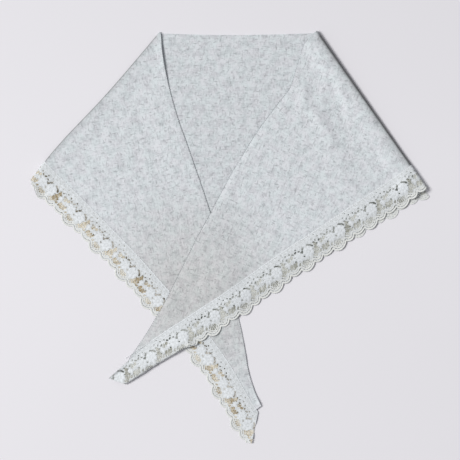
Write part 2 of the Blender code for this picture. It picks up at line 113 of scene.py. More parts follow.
class End(NamedTuple):
    """Folded end: its stations, the cut tip of its lace, its fold and its soft shapes.

    The last two are how the knit and the lace settle: the reach and two evening radii, mm.
    """

    sections: Sequence[Section]
    tip: Sequence[tuple[float, float]]
    roll: Roll
    swells: Sequence[Swell]
    lace_swells: Sequence[Swell]
    knit_ease: tuple[float, float, float]
    lace_ease: tuple[float, float, float]


class Side(Enum):
    """Which end of the shawl a piece belongs to."""

    LEFT = "left"
    RIGHT = "right"


def table(kind: type, *rows: Sequence[float]) -> tuple:
    """Rows of numbers as entries of one kind."""
    return tuple(kind(*row) for row in rows)


ENDS = {
    Side.LEFT: End(
        sections=table(
            Section,
            (-99.6, 287.0, -283.1, 69.8), (-97.2, 259.9, -256.9, 43.7),
            (-91.3, 226.2, -230.8, 17.6), (-83.4, 194.1, -204.8, -8.8),
            (-74.4, 164.3, -179.0, -35.3), (-64.9, 137.8, -153.8, -62.3),
            (-55.3, 110.3, -129.3, -90.0), (-31.0, 38.3, -104.5, -117.5),
            (-12.7, -30.2, -79.3, -144.5), (9.1, -110.4, -56.1, -173.3),
            (18.2, -156.5, -35.4, -203.9), (22.8, -184.2, -17.1, -236.1),
            (31.2, -212.2, 2.1, -267.6), (41.2, -234.0, 22.0, -300.0)),
        tip=((38.0, -236.0), (27.5, -286.5), (8.0, -284.0)),
        roll=Roll(neck=2.6, foot=2.4, settle=26.0, plump=0.2, fold_shade=0.74, fade=9.0),
        swells=table(
            Swell,
            (-150.0, 95.0, -50.0, 80.0, 22.0, 1.2), (-205.0, 60.0, 40.0, 60.0, 10.0, 0.7),
            (-120.0, 150.0, -70.0, 90.0, 16.0, -0.8), (-95.0, 256.0, -80.0, 42.0, 12.0, 2.8),
            (42.0, -230.0, -65.0, 16.0, 7.0, 2.6)),
        lace_swells=table(Swell, (33.0, -288.0, -75.0, 20.0, 10.0, 5.0)),
        knit_ease=(12.0, 8.0, 6.0), lace_ease=(10.0, 8.0, 4.0)),
    Side.RIGHT: End(
        sections=table(
            Section,
            (115.0, 287.6, 271.8, 65.5), (101.5, 271.3, 256.3, 54.4), (92.1, 243.7, 239.2, 42.7),
            (81.9, 211.7, 205.7, 20.7), (64.9, 188.6, 171.7, -2.2), (37.4, 151.6, 138.5, -24.5),
            (7.1, 103.3, 105.0, -46.4), (-13.0, 67.5, 71.3, -69.8), (-28.7, 37.2, 38.7, -93.1),
            (-50.1, -2.3, 4.9, -116.5), (-71.1, -44.4, -28.6, -138.2, 0.5),
            (-97.4, -96.2, -45.0, -149.3, 2.5), (-122.3, -137.5, -62.3, -160.1, 8.5),
            (-136.5, -158.5, -96.5, -182.6, 10.5), (-146.2, -172.2, -165.0, -226.0, 10.5)),
        tip=((-146.2, -172.2), (-172.5, -195.5), (-147.0, -204.5)),
        roll=Roll(neck=5.0, foot=3.6, settle=34.0, plump=1.5, fold_shade=0.98, fade=11.0),
        swells=table(
            Swell,
            (122.0, 165.0, -60.0, 75.0, 14.0, 3.2), (150.0, 95.0, -52.0, 60.0, 18.0, 1.8),
            (-18.0, -60.0, 35.0, 55.0, 18.0, 2.0), (-158.0, -190.0, 30.0, 26.0, 16.0, 4.5),
            (112.0, 196.0, 84.0, 36.0, 9.0, -1.3), (147.0, 196.0, -70.0, 44.0, 10.0, -1.7),
            (97.0, 190.0, 84.0, 40.0, 9.0, 0.6), (130.0, 205.0, 84.0, 36.0, 8.0, 0.8),
            (168.0, 160.0, -60.0, 60.0, 12.0, 0.8), (40.0, 20.0, 20.0, 70.0, 24.0, -0.9),
            (-74.0, -82.0, -42.0, 30.0, 12.0, -2.2)),
        lace_swells=table(Swell, (-171.0, -197.0, 20.0, 14.0, 9.0, 1.6)),
        knit_ease=(12.0, 16.0, 6.0), lace_ease=(14.0, 10.0, 6.0)),
}
PULLS = table(Pull, (-250.0, 125.0, 110.0, -4.7, 4.1))
MIDDLE = np.array([-4.2, 1.992])  # plan point that lies over the frame's origin
INSIDE = np.array([0.0, 60.0])    # a point well inside the shawl
APEX = np.array([11.0, -94.0])    # point of the back's lace
DARK_WARM_PATCH = np.array([-60.0, -85.0])   # middle of a patch where the knit is darker and warmer


@dataclass(frozen=True)
class Cloth:
    """Walls and widths of what the shawl is made from, mm."""

    knit: float = 1.6
    lace: float = 1.0
    gap: float = 0.3
    band: float = 42.5
    overhang: float = 25.0
    neck_dip: float = 2.5
    back_shows: float = 8.5


CLOTH = Cloth()


# ---------- plan geometry
def ramp(value: Array) -> Array:
    """Values held between nought and one."""
    return np.clip(value, 0, 1)


def eased(share: Array) -> Array:
    """Shares from nought to one with a soft start and end."""
    return share ** 2 * (3 - 2 * share)


def bell(away: Array) -> Array:
    """Soft bump over a squared distance, in squared half widths."""
    return np.exp(-2 * away)


def unit(vector: Array) -> Array:
    """Vector with the same direction and a length of one."""
    return vector / np.linalg.norm(vector)


def quarter(vector: Array) -> Array:
    """Plan vector turned a quarter to the left."""
    return np.array([-vector[1], vector[0]])


def cross(a: Array, b: Array) -> Array:
    """Third component of the cross product of plan vectors."""
    return a[..., 0] * b[..., 1] - a[..., 1] * b[..., 0]


def lengths(line: Array) -> Array:
    """Distance of each point of a line from its start, along it."""
    return np.concatenate([[0], np.cumsum(np.linalg.norm(np.diff(line, axis=0), axis=1))])


def read(marks: Array, run: Array, values: Array) -> Array:
    """Pairs of values along a line, read at distances from its start."""
    return np.stack([np.interp(marks, run, values[:, k]) for k in (0, 1)], -1)


FINE_STEPS = 24  # points of a smooth curve from one station to the next
CLEAR = 0.5      # how far a grid keeps from its edge, in cells


def smooth_curve(points: Sequence[Sequence[float]], step: float) -> Array:
    """Catmull-Rom curve through the points, resampled at about one spacing.

    Args:
        points: Stations of the curve.
        step: Spacing of the new points, mm.

    Returns:
        The resampled points.
    """
    knots = np.array([2 * np.array(points[0]) - points[1], *points,
                      2 * np.array(points[-1]) - points[-2]], float)
    fine = []
    for a, b, c, d in zip(knots, knots[1:], knots[2:], knots[3:]):
        t = np.linspace(0, 1, FINE_STEPS, endpoint=False)[:, None]
        fine.append(0.5 * (2 * b + (c - a) * t + (2 * a - 5 * b + 4 * c - d) * t ** 2
                           + (3 * b - a - 3 * c + d) * t ** 3))
    fine = np.vstack([*fine, knots[-2:-1]])
    run = lengths(fine)
    return read(np.linspace(0, run[-1], max(2, round(run[-1] / step) + 1)), run, fine)


def stretch(start: Array, end: Array, step: float) -> Array:
    """Evenly spaced points from one place to another, without the last."""
    count = max(1, round(float(np.linalg.norm(end - start)) / step))
    return start + (end - start) * (np.arange(count) / count)[:, None]


def meet(a: Array, along_a: Array, b: Array, along_b: Array) -> Array:
    """Plan point where two lines meet."""
    return a + along_a * cross(b - a, along_b) / cross(along_a, along_b)


def ring(count: int) -> list[tuple[int, int]]:
    """Pairs of neighbours round a closed loop of points."""
    return [(k, (k + 1) % count) for k in range(count)]


def within(plan: Array, starts: Array, ends: Array) -> Array:
    """Whether plan points lie inside the loops that the edges form.

    Args:
        plan: Points to test.
        starts: First point of each edge.
        ends: Second point of each edge.

    Returns:
        One truth value for each point.
    """
    hit = np.zeros(len(plan), bool)
    for a, b in zip(starts, ends):
        if a[1] == b[1]:
            continue
        crossing = (a[1] > plan[:, 1]) != (b[1] > plan[:, 1])
        x = a[0] + (plan[:, 1] - a[1]) * (b[0] - a[0]) / (b[1] - a[1])
        hit ^= crossing & (plan[:, 0] < x)
    return hit


def inside(plan: Array, loop: Array) -> Array:
    """Whether plan points lie inside a closed loop."""
    return within(plan, loop, np.roll(loop, -1, axis=0))


def distance_to(plan: Array, line: Array) -> Array:
    """Distance of plan points from an open line of points."""
    near = np.full(len(plan), np.inf)
    for a, b in zip(line, line[1:]):
        share = ramp((plan - a) @ (b - a) / max(float((b - a) @ (b - a)), 1e-9))
        near = np.minimum(near, np.linalg.norm(plan - a - share[:, None] * (b - a), axis=1))
    return near


def grid_inside(loop: Array, cell: float) -> Array:
    """Triangular grid of plan points inside a loop, clear of its edge.

    Args:
        loop: Closed outline, mm.
        cell: Spacing of the grid, mm.

    Returns:
        Its points.
    """
    low, high = loop.min(axis=0), loop.max(axis=0)
    rows = []
    for k, y in enumerate(np.arange(low[1], high[1], cell * math.sqrt(3) / 2)):
        x = np.arange(low[0] + (k % 2) * cell / 2, high[0], cell)
        rows.append(np.column_stack([x, np.full(len(x), y)]))
    points = np.vstack(rows)
    points = points[inside(points, loop)]
    return points[distance_to(points, np.vstack([loop, loop[:1]])) > CLEAR * cell]


def triangulated(points: Array, edges: Sequence[tuple[int, int]],
                 close: float) -> tuple[Array, Array, list[list[int]]]:
    """Triangles of the region inside loops of edges.

    Args:
        points: Plan points on the loops and inside them.
        edges: Pairs of points that bound the region.
        close: Distance at which two points are one.

    Returns:
        Points, triangles turned anticlockwise, and the given points that each point stands for.
    """
    result = delaunay_2d_cdt([Vector(p) for p in points], edges, [], 0, close)
    plan, triangles = np.array(result[0]), np.array(result[2])
    starts, ends = np.moveaxis(points[np.array(edges)], 1, 0)
    triangles = triangles[within(plan[triangles].mean(axis=1), starts, ends)]
    a, b, c = np.moveaxis(plan[triangles], 1, 0)
    turned = cross(b - a, c - a) < 0
    triangles[turned] = triangles[turned][:, ::-1]
    return plan, triangles, result[3]


class Rim:
    """Line through the scallop tips, with the cloth on the side of its inward normal."""

    STEP = 4.0
    ROUNDS = 6  # times that its direction is evened out

    def __init__(self, points: Sequence[Sequence[float]]) -> None:
        """Smooth the line through its stations, from the fold on.

        Args:
            points: The stations, mm.
        """
        self.line = smooth_curve(points, self.STEP)
        self.run = lengths(self.line)
        tangent = np.gradient(self.line, self.run, axis=0)
        for _ in range(self.ROUNDS):
            tangent[1:-1] = (tangent[:-2] + 2 * tangent[1:-1] + tangent[2:]) / 4
        self.tangent = tangent / np.linalg.norm(tangent, axis=1)[:, None]
        self.side = float(np.sign(cross(self.tangent[0], INSIDE - self.line[0])))
        self.normal = self.side * quarter(self.tangent.T).T
        self.length = float(self.run[-1])

    def point(self, along: Array, into: Array) -> Array:
        """Plan point at a distance along the rim and a distance in towards the cloth."""
        along = np.asarray(along, float)
        held = np.clip(along, 0, self.length)
        base, tangent, normal = (read(held, self.run, values)
                                 for values in (self.line, self.tangent, self.normal))
        return base + (along - held)[..., None] * tangent + np.asarray(into)[..., None] * normal


class Fold:
    """Fold line from the neck edge to the rim, and the half turn of cloth round it."""

    TURNED = 0.75    # share of the painted fold shade that lies on the half turn itself
    STEEP = 1.2      # how soon it is full there
    NECK = 9.0, 0.2  # how far from the neck it is full, mm, and its share at the neck

    def __init__(self, first: Section, roll: Roll) -> None:
        """Set up the line.

        Args:
            first: Station at the fold.
            roll: The half turn's heights.
        """
        self.neck = np.array(first[:2])
        foot = np.array(first[2:4])
        self.length = float(np.linalg.norm(foot - self.neck))
        self.along = (foot - self.neck) / self.length
        self.out = quarter(self.along)
        if (INSIDE - self.neck) @ self.out > 0:
            self.out = -self.out
        self.roll = roll

    def locate(self, plan: Array) -> tuple[Array, Array]:
        """Distances along the fold and out past it."""
        return (plan - self.neck) @ self.along, (plan - self.neck) @ self.out

    def radius(self, along: Array) -> Array:
        """Outer radius of the half turn."""
        return self.roll.neck + (self.roll.foot - self.roll.neck) * along / self.length

    def painted_fold_shade(self, plan: Array) -> Array:
        """How much painted shade darkens the cloth at unrolled plan points, less so at the neck.
        """
        along, out = self.locate(plan)
        near = ramp(1 + out / self.roll.fade) ** 2
        turned = ramp(self.STEEP * out / self.radius(along)) ** 2
        reach, least = self.NECK
        return (self.roll.fold_shade * ((1 - self.TURNED) * near + self.TURNED * turned)
                * np.clip(along / reach, least, 1))

    def at(self, along: Array, share: float) -> Array:
        """Unrolled plan points at a share of the half turn."""
        along = np.asarray(along, float)
        out = share * math.pi * self.radius(along)
        return self.neck + along[..., None] * self.along + out[..., None] * self.out


# ---------- layers
class Heap:
    """Height map of what already lies on the floor."""

    STEP = 2.0
    HALF = 330.0

    def __init__(self) -> None:
        """Start with the bare floor."""
        self.axis = np.arange(-self.HALF, self.HALF + self.STEP, self.STEP)
        self.plan = np.stack(np.meshgrid(self.axis, self.axis, indexing="ij"), -1)
        self.top = np.zeros(self.plan.shape[:2])

    def stamp(self, loop: Array, height: Height, wall: float) -> None:
        """Raise the map to the top of a layer.

        Args:
            loop: The layer's outline.
            height: Its lower face.
            wall: Its thickness.
        """
        plan = self.plan.reshape(-1, 2)
        near = np.flatnonzero(((plan > loop.min(axis=0)) & (plan < loop.max(axis=0))).all(axis=1))
        near = near[inside(plan[near], loop)]
        top = self.top.reshape(-1)
        top[near] = np.maximum(top[near], height(plan[near]) + wall)

    def drape(self, reach: float, *soft: float) -> Height:
        """Lower face of a layer laid on the heap.

        Args:
            reach: How far it stays up past what it lies on.
            soft: Radii that its slope is evened out over, one after the other.

        Returns:
            The height of that face over plan points.
        """
        surface = self.spread(np.where(self.top > 0, self.top + CLOTH.gap, 0), reach, True)
        for radius in soft:
            surface = self.spread(surface, radius, False)

        def height(plan: Array) -> Array:
            """Bilinear reading of the settled surface."""
            spot = (plan - self.axis[0]) / self.STEP
            cell = np.clip(np.floor(spot).astype(int), 0, len(self.axis) - 2)
            fx, fy = np.moveaxis(spot - cell, -1, 0)
            i, j = np.moveaxis(cell, -1, 0)
            near, far = (surface[k, j] * (1 - fy) + surface[k, j + 1] * fy for k in (i, i + 1))
            return near * (1 - fx) + far * fx

        return height

    def spread(self, surface: Array, radius: float, highest: bool) -> Array:
        """Highest or mean value within a radius of each cell.

        Args:
            surface: A value for each cell.
            radius: The radius, mm.
            highest: Whether it takes the highest value.

        Returns:
            The new values.
        """
        cells = int(radius / self.STEP)
        total = np.zeros_like(surface)
        count = 0
        for i in range(-cells, cells + 1):
            for j in range(-cells, cells + 1):
                if i * i + j * j <= cells * cells:
                    moved = np.roll(surface, (i, j), (0, 1))
                    total = np.maximum(total, moved) if highest else total + moved
                    count += 1
        return total if highest else total / count


def swelling(plan: Array, swells: Iterable[Swell]) -> Array:
    """Height that soft ridges and troughs add to a layer.

    Args:
        plan: Plan points, mm.
        swells: The ridges and troughs.

    Returns:
        What they add at each point, mm.
    """
    total = np.zeros(plan.shape[:-1])
    for row in swells:
        run = np.array([math.cos(math.radians(row.degrees)), math.sin(math.radians(row.degrees))])
        away = plan - (row.x, row.y)
        total += row.height * bell((away @ run / row.half_length) ** 2
                                   + (away @ quarter(run) / row.half_width) ** 2)
    return total


@dataclass
class Lay:
    """Where a folded layer lies: on the heap, and round its fold.

    Attributes:
        fold: The fold that it comes round.
        back: The back's underside.
        drape: The layer's rest on the heap.
        swells: Its soft ridges and troughs.
        stand: How far its inner face stands off the roll's outer radius.
    """

    fold: Fold
    back: Height
    drape: Height
    swells: Sequence[Swell]
    stand: float

    def low(self, plan: Array) -> Array:
        """Height of the inner face over plan points inside the fold.

        Args:
            plan: Plan points, mm.

        Returns:
            Their heights, mm.
        """
        along, out = self.fold.locate(plan)
        crown = self.back(plan - out[:, None] * self.fold.out)
        crown += 2 * self.fold.radius(along) + self.stand
        settle = ramp(-out / self.fold.roll.settle)
        stay = (1 + np.cos(math.pi * settle)) / 2
        rest = self.drape(plan)
        bulge = self.fold.roll.plump * np.sin(math.pi * settle) ** 2
        return (rest + np.maximum(crown - rest, 0) * stay + bulge
                + swelling(plan, self.swells) * (1 - stay))

    def at(self, plan: Array, lift: Array) -> Array:
        """Places of unrolled plan points, each lifted off the inner face.

        Args:
            plan: Plan points, mm.
            lift: Distance of each off the face, mm.

        Returns:
            The places, mm.
        """
        along, out = self.fold.locate(plan)
        line = plan - out[:, None] * self.fold.out
        radius = self.fold.radius(along)
        turn = math.pi * ramp(out / (math.pi * radius))
        level = radius + self.stand + lift
        past = out > 0
        xy = np.where(past[:, None], line + (level * np.sin(turn))[:, None] * self.fold.out, plan)
        round_z = self.back(line) + radius + level * np.cos(turn)
        return np.column_stack([xy, np.where(past, round_z, self.low(plan) + lift)])


def in_frame(points: Array) -> Array:
    """Places in the frame, in metres, of points in plan millimetres."""
    moved = np.array(points, float)
    shift = np.zeros((len(moved), 2))
    for row in PULLS:
        away = np.linalg.norm(moved[:, :2] - (row.x, row.y), axis=1) / row.reach
        shift += bell(away ** 2)[:, None] * (row.shift_x, row.shift_y)
    moved[:, :2] += shift - MIDDLE
    return moved * MM


# ---------- mesh helpers
def fetch(items: bpy.types.bpy_prop_collection, label: str, width: int = 1,
          kind: type = float) -> Array:
    """Values of every item of a mesh.

    Args:
        items: Its vertices, loops or attribute values.
        label: What is read of each.
        width: Numbers in each value.
        kind: Type of the numbers.

    Returns:
        All the numbers, in one row.
    """
    values = np.empty(len(items) * width, kind)
    items.foreach_get(label, values)
    return values


class Parts:
    """Mesh gathered from several, with its flat map and other values of each point."""

    def __init__(self) -> None:
        """Start with nothing."""
        self.points: list[Array] = []
        self.faces: list[tuple[int, ...]] = []
        self.values: dict[str, list[Array]] = {}
        self.count = 0

    def add(self, points: Array, faces: Faces, **values: Array) -> None:
        """Add one mesh.

        Args:
            points: Its vertices, in frame metres.
            faces: Its faces.
            values: What each vertex carries, the flat map under the name flat.
        """
        self.points.append(points)
        self.faces.extend(tuple(int(k) + self.count for k in face) for face in faces)
        for label, value in values.items():
            self.values.setdefault(label, []).append(value)
        self.count += len(points)

    def piece(self, name: str, finishes: Sequence[Material]) -> Piece:
        """Object of the whole mesh.

        Args:
            name: Its name.
            finishes: Its materials, in slot order.

        Returns:
            The object, linked to the scene.
        """
        mesh = bpy.data.meshes.new(name)
        mesh.from_pydata(np.vstack(self.points).tolist(), [], self.faces)
        for finish in finishes:
            mesh.materials.append(finish)
        for label, rows in self.values.items():
            if label == "flat":
                corners = np.vstack(rows)[fetch(mesh.loops, "vertex_index", kind=int)]
                mesh.uv_layers.new(name=label).data.foreach_set("uv", corners.reshape(-1))
            else:
                attribute = mesh.attributes.new(label, "FLOAT", "POINT")
                attribute.data.foreach_set("value", np.concatenate(rows))
        piece = bpy.data.objects.new(name, mesh)
        bpy.context.scene.collection.objects.link(piece)
        return piece


class Trim(NamedTuple):
    """Straight cut: a plan point on it, and the side that is cut away."""

    point: Array
    away: Array

    @classmethod
    def between(cls, a: Array, b: Array, kept: Array) -> "Trim":
        """Cut through two points that keeps the side of a third."""
        away = quarter(unit(b - a))
        return cls(a, away * np.sign(away @ (a - kept)))


SHARP = 60.0  # angle over which an edge stays sharp, degrees


def select_only(piece: Piece) -> None:
    """Select one object and make it active."""
    bpy.ops.object.select_all(action="DESELECT")
    piece.select_set(True)
    bpy.context.view_layer.objects.active = piece


def weld(piece: Piece, distance: float, trims: Iterable[Trim] = ()) -> None:
    """Join the points of a piece that meet, and cut off its ends, with the cuts closed.

    Args:
        piece: The piece.
        distance: How near points are joined, m.
        trims: The cuts.
    """
    select_only(piece)
    bpy.ops.object.mode_set(mode="EDIT")
    bpy.ops.mesh.select_all(action="SELECT")
    bpy.ops.mesh.remove_doubles(threshold=distance)
    for cut in trims:
        bpy.ops.mesh.select_all(action="SELECT")
        bpy.ops.mesh.bisect(plane_co=(*(cut.point * MM), 0), plane_no=(*cut.away, 0),
                            use_fill=True, clear_outer=True, clear_inner=False)
    bpy.ops.object.mode_set(mode="OBJECT")


def smoothed(piece: Piece, degrees: float) -> Piece:
    """Smooth a piece but for the edges sharper than an angle."""
    select_only(piece)
    bpy.ops.object.shade_smooth_by_angle(angle=math.radians(degrees))
    return piece


# ---------- shader groups and finishes
class Wiring:
    """Short ways to add and join the nodes of one tree."""

    def __init__(self, tree: bpy.types.NodeTree) -> None:
        """Work on a tree."""
        self.tree = tree

    def fill(self, node: bpy.types.Node, inputs: dict) -> None:
        """Link sockets to a node's inputs, or set the inputs' values.

        Args:
            node: The node.
            inputs: Socket, number, vector or colour of each input.
        """
        for label, value in inputs.items():
            target = node.inputs[label]
            if isinstance(value, Socket):
                self.tree.links.new(value, target)
            else:
                target.default_value = (*value, 1) if target.type == "RGBA" else value

    def node(self, kind: str, inputs: Optional[dict] = None, **settings: object
             ) -> bpy.types.NodeOutputs:
        """New node.

        Args:
            kind: Its type, without the shader prefix.
            inputs: What its inputs hold.
            settings: Its settings.

        Returns:
            Its outputs.
        """
        node = self.tree.nodes.new("ShaderNode" + kind)
        for label, value in settings.items():
            setattr(node, label, value)
        self.fill(node, inputs or {})
        return node.outputs

    def flat(self) -> Socket:
        """Flat map of the piece, in metres."""
        return self.node("UVMap", uv_map="flat")[0]

    def place(self) -> Socket:
        """Object coordinates."""
        return self.node("TexCoord")["Object"]

    def carried(self, label: str) -> Socket:
        """Value that the points of the piece carry."""
        return self.node("Attribute", attribute_name=label)["Fac"]

    def level(self, vector: Socket) -> Socket:
        """Second component of a vector."""
        return self.node("SeparateXYZ", {0: vector})[1]

    def math(self, operation: str, a: object, b: object = 0.0, clamp: bool = False) -> Socket:
        """Result of a maths node."""
        return self.node("Math", {0: a, 1: b, 2: 0.0}, operation=operation, use_clamp=clamp)[0]

    def scaled(self, vector: Socket, scale: Sequence[float], turn: float = 0.0) -> Socket:
        """Vector turned about Z and scaled."""
        return self.node("Mapping", {"Vector": vector, "Rotation": (0, 0, turn),
                                     "Scale": scale})[0]

    def noise(self, vector: Socket, scale: float | Sequence[float], detail: float = 2.0,
              roughness: float = 0.5, turn: float = 0.0) -> Socket:
        """Noise over a scaled vector, from nought to one."""
        sizes = scale if isinstance(scale, tuple) else (scale,) * 3
        return self.node("TexNoise", {"Vector": self.scaled(vector, sizes, turn), "Scale": 1.0,
                                      "Detail": detail, "Roughness": roughness})["Fac"]

    def blend(self, share: object, a: object, b: object, kind: str = "MIX") -> Socket:
        """Mix of two colours."""
        return self.node("Mix", {0: share, 6: a, 7: b}, data_type="RGBA", blend_type=kind)[2]

    def remap(self, value: Socket, low: float, high: float, to_low: float = 0.0,
              to_high: float = 1.0) -> Socket:
        """Value moved from one range to another, held at its ends."""
        return self.node("MapRange", dict(enumerate((value, low, high, to_low, to_high))))[0]

    def weighed(self, *pairs: tuple[Socket, float]) -> Socket:
        """Sum of values, each times its weight."""
        products = [self.math("MULTIPLY", *pair) for pair in pairs]
        total = products[0]
        for product in products[1:]:
            total = self.math("ADD", total, product)
        return total

    def wave(self, turns: Socket) -> Socket:
        """Sine of a number of turns."""
        return self.math("SINE", self.math("MULTIPLY", turns, 2 * math.pi))

    def half_up(self, value: Socket) -> Socket:
        """Value between -1 and 1 moved to between nought and one."""
        return self.math("ADD", self.math("MULTIPLY", value, 0.5), 0.5)

    def bump(self, height: Socket, strength: float, distance: float) -> Socket:
        """Normal over a bumpy height."""
        return self.node("Bump", {"Height": height, "Strength": strength,
                                  "Distance": distance})[0]


Outputs = dict[str, Socket]
Work = Callable[[Wiring, bpy.types.NodeOutputs], Outputs]


def new_group(name: str, numbers: dict[str, float], work: Work) -> bpy.types.NodeTree:
    """Shader group over a flat vector.

    Args:
        name: Its name.
        numbers: Defaults of its other inputs.
        work: Wires it up, and says what each of its outputs gives.

    Returns:
        The group.
    """
    group = bpy.data.node_groups.new(name, "ShaderNodeTree")
    face = group.interface
    face.new_socket("Vector", in_out="INPUT", socket_type="NodeSocketVector")
    for label, value in numbers.items():
        socket = face.new_socket(label, in_out="INPUT", socket_type="NodeSocketFloat")
        socket.default_value = value
    wire = Wiring(group)
    results = work(wire, group.nodes.new("NodeGroupInput").outputs)
    for label in results:
        face.new_socket(label, in_out="OUTPUT", socket_type="NodeSocketFloat")
    wire.fill(group.nodes.new("NodeGroupOutput"), results)
    return group


def heather(wire: Wiring, source: bpy.types.NodeOutputs) -> Outputs:
    """Heathered, brushed yarn: dark and pale fibre flecks in soft clouds.

    Args:
        wire: Wiring of the group.
        source: What the group is given.

    Returns:
        What the group gives.
    """
    spot = source["Vector"]
    tone = wire.weighed((wire.noise(spot, 90, 3.0), 0.34),
                        (wire.noise(spot, (410, 175, 300), 2.0, 0.6, 0.1), 0.28),
                        (wire.noise(spot, (190, 430, 300), 2.0, 0.6, -0.1), 0.28),
                        (wire.noise(spot, (1000, 1000, 600), 2.0, 0.65), 0.07))
    upright = wire.noise(spot, (360, 140, 260), 1.0, 0.5, 0.05)
    lying = wire.noise(spot, (130, 400, 260), 1.0, 0.5, 0.05)
    fuzz = wire.noise(spot, (1500, 900, 900), 4.0, 0.7, 0.8)
    return {"Tone": tone, "Fleck": wire.remap(wire.math("MAXIMUM", upright, lying), 0.585, 0.75),
            "Tint": wire.noise(spot, 75, 2.0, 0.6),
            "Height": wire.weighed((fuzz, 0.6), (tone, 0.4))}


def knit_loops(wire: Wiring, source: bpy.types.NodeOutputs) -> Outputs:
    """Rows of knit loops, as a height."""
    x, y, _ = wire.node("SeparateXYZ", {0: source["Vector"]})
    wale = wire.math("FRACT", wire.math("DIVIDE", x, source["Wale"]))
    leg = wire.math("ABSOLUTE", wire.math("SUBTRACT", wale, 0.5))
    row = wire.math("ADD", wire.math("DIVIDE", y, source["Course"]),
                    wire.math("MULTIPLY", leg, 1.1))
    return {"Height": wire.math("MULTIPLY", wire.half_up(wire.wave(row)), wire.wave(leg))}


def laid_thread(wire: Wiring, source: bpy.types.NodeOutputs) -> Outputs:
    """Fine laid thread, as a height: close ribs that wander a little."""
    x = wire.node("SeparateXYZ", {0: source["Vector"]})[0]
    wander = wire.noise(source["Vector"], 160, 1.0)
    slant = wire.math("ADD", x, wire.math("MULTIPLY", wander, 0.004))
    return {"Height": wire.half_up(wire.wave(wire.math("DIVIDE", slant, source["Pitch"])))}


class Groups:
    """Shader groups that several materials place, each built once."""

    def __init__(self) -> None:
        """Build the groups."""
        self.heather = new_group("heather", {}, heather)
        self.loops = new_group("knit_loops", {"Wale": 0.0011, "Course": 0.0009}, knit_loops)
        self.thread = new_group("laid_thread", {"Pitch": 0.0006}, laid_thread)


@dataclass(frozen=True)
class Finish:
    """Base of the finishes: a material with one Principled shader."""

    name: str

    def sockets(self, wire: Wiring, groups: Groups) -> dict:
        """What the shader's sockets hold, by name."""
        raise NotImplementedError

    def material(self, groups: Groups) -> Material:
        """Build the material.

        Args:
            groups: Shader groups that it may place.

        Returns:
            The material.
        """
        material = bpy.data.materials.new(self.name)
        material.use_nodes = True
        wire = Wiring(material.node_tree)
        wire.fill(material.node_tree.nodes["Principled BSDF"], self.sockets(wire, groups))
        return material


def dimmed(colour: Colour, share: float) -> Colour:
    """Colour times a share."""
    return tuple(share * c for c in colour)


@dataclass(frozen=True)
class KnitFinish(Finish):
    """Brushed heather knit, darker and warmer over one patch, with painted shade at the folds."""

    pale: Colour = (0.655, 0.693, 0.717)
    deep: Colour = (0.45, 0.475, 0.498)
    fleck: Colour = (0.25, 0.262, 0.275)
    pink: Colour = (1.0, 0.978, 0.988)
    green: Colour = (0.978, 1.0, 0.995)
    patch_tone: Colour = (0.875, 0.85, 0.825)
    shade: Colour = (0.05, 0.047, 0.042)
    gain: float = 1.0

    def sockets(self, wire: Wiring, groups: Groups) -> dict:
        """Flecked and tinted on the piece's flat map, darker over one patch, with painted shade at
        the folds.
        """
        flat = wire.flat()
        yarn = wire.node("Group", {"Vector": flat}, node_tree=groups.heather)
        loops = wire.node("Group", {"Vector": flat}, node_tree=groups.loops)
        colour = wire.blend(wire.remap(yarn["Tone"], 0.345, 0.54), self.deep, self.pale)
        colour = wire.blend(wire.math("MULTIPLY", yarn["Fleck"], 0.56), colour, self.fleck)
        tint = wire.blend(wire.remap(yarn["Tint"], 0.38, 0.62), self.green, self.pink)
        away = wire.node("VectorMath", {0: wire.place(), 1: (*((DARK_WARM_PATCH - MIDDLE) * MM), 0)},
                         operation="DISTANCE")["Value"]
        for share, tone in ((1.0, tint), (wire.remap(away, 0.04, 0.165, 1.0, 0.0), self.patch_tone),
                            (1.0, (self.gain,) * 3)):
            colour = wire.blend(share, colour, tone, "MULTIPLY")
        height = wire.weighed((yarn["Height"], 0.75), (loops["Height"], 0.25))
        # painted shade: the colour is drawn towards a near-black shade colour round the folds, by
        # the carried fold share
        return {"Base Color": wire.blend(wire.carried("fold_shade"), colour, self.shade),
                "Roughness": 0.94, "Specular IOR Level": 0.2, "Sheen Weight": 0.35,
                "Sheen Roughness": 0.55, "Sheen Tint": (0.9, 0.95, 1.0),
                "Normal": wire.bump(height, 0.42, 0.0006)}


@dataclass(frozen=True)
class LaceFinish(Finish):
    """White thread of the lace: laid satin on the flowers, matt ground between them."""

    white: Colour = (0.77, 0.81, 0.845)
    ground: Colour = (0.645, 0.68, 0.70)
    cream: Colour = (0.80, 0.81, 0.765)
    pit_shade: Colour = (0.42, 0.435, 0.42)

    def sockets(self, wire: Wiring, groups: Groups) -> dict:
        """White where the relief is high and cream at the rim, with painted shade in the pits of
        the ground.
        """
        flat = wire.flat()
        into = wire.level(flat)
        thread = wire.node("Group", {"Vector": wire.scaled(flat, (1, 1, 1), 0.7)},
                           node_tree=groups.thread)
        share = wire.math("ADD", wire.math("MULTIPLY", wire.carried("relief"), 0.88),
                          wire.remap(wire.noise(flat, 330), 0.3, 0.7, -0.44, 0.16), clamp=True)
        crown = wire.blend(wire.remap(into, 0.008, 0.014, 1.0, 0.0), self.white, self.cream)
        # painted shade: dark spots in the ground where its fine pits lie
        pit_shade_share = wire.math("MULTIPLY", wire.remap(wire.noise(flat, 620, 1.0), 0.52, 0.66),
                         wire.remap(into, 0.028, 0.034, 0.8, 0.72))
        ground = wire.blend(pit_shade_share, self.ground, self.pit_shade)
        return {"Base Color": wire.blend(share, ground, crown), "Roughness": 0.62,
                "Specular IOR Level": 0.3, "Sheen Weight": 0.2,
                "Normal": wire.bump(thread["Height"], 0.5, 0.0002)}


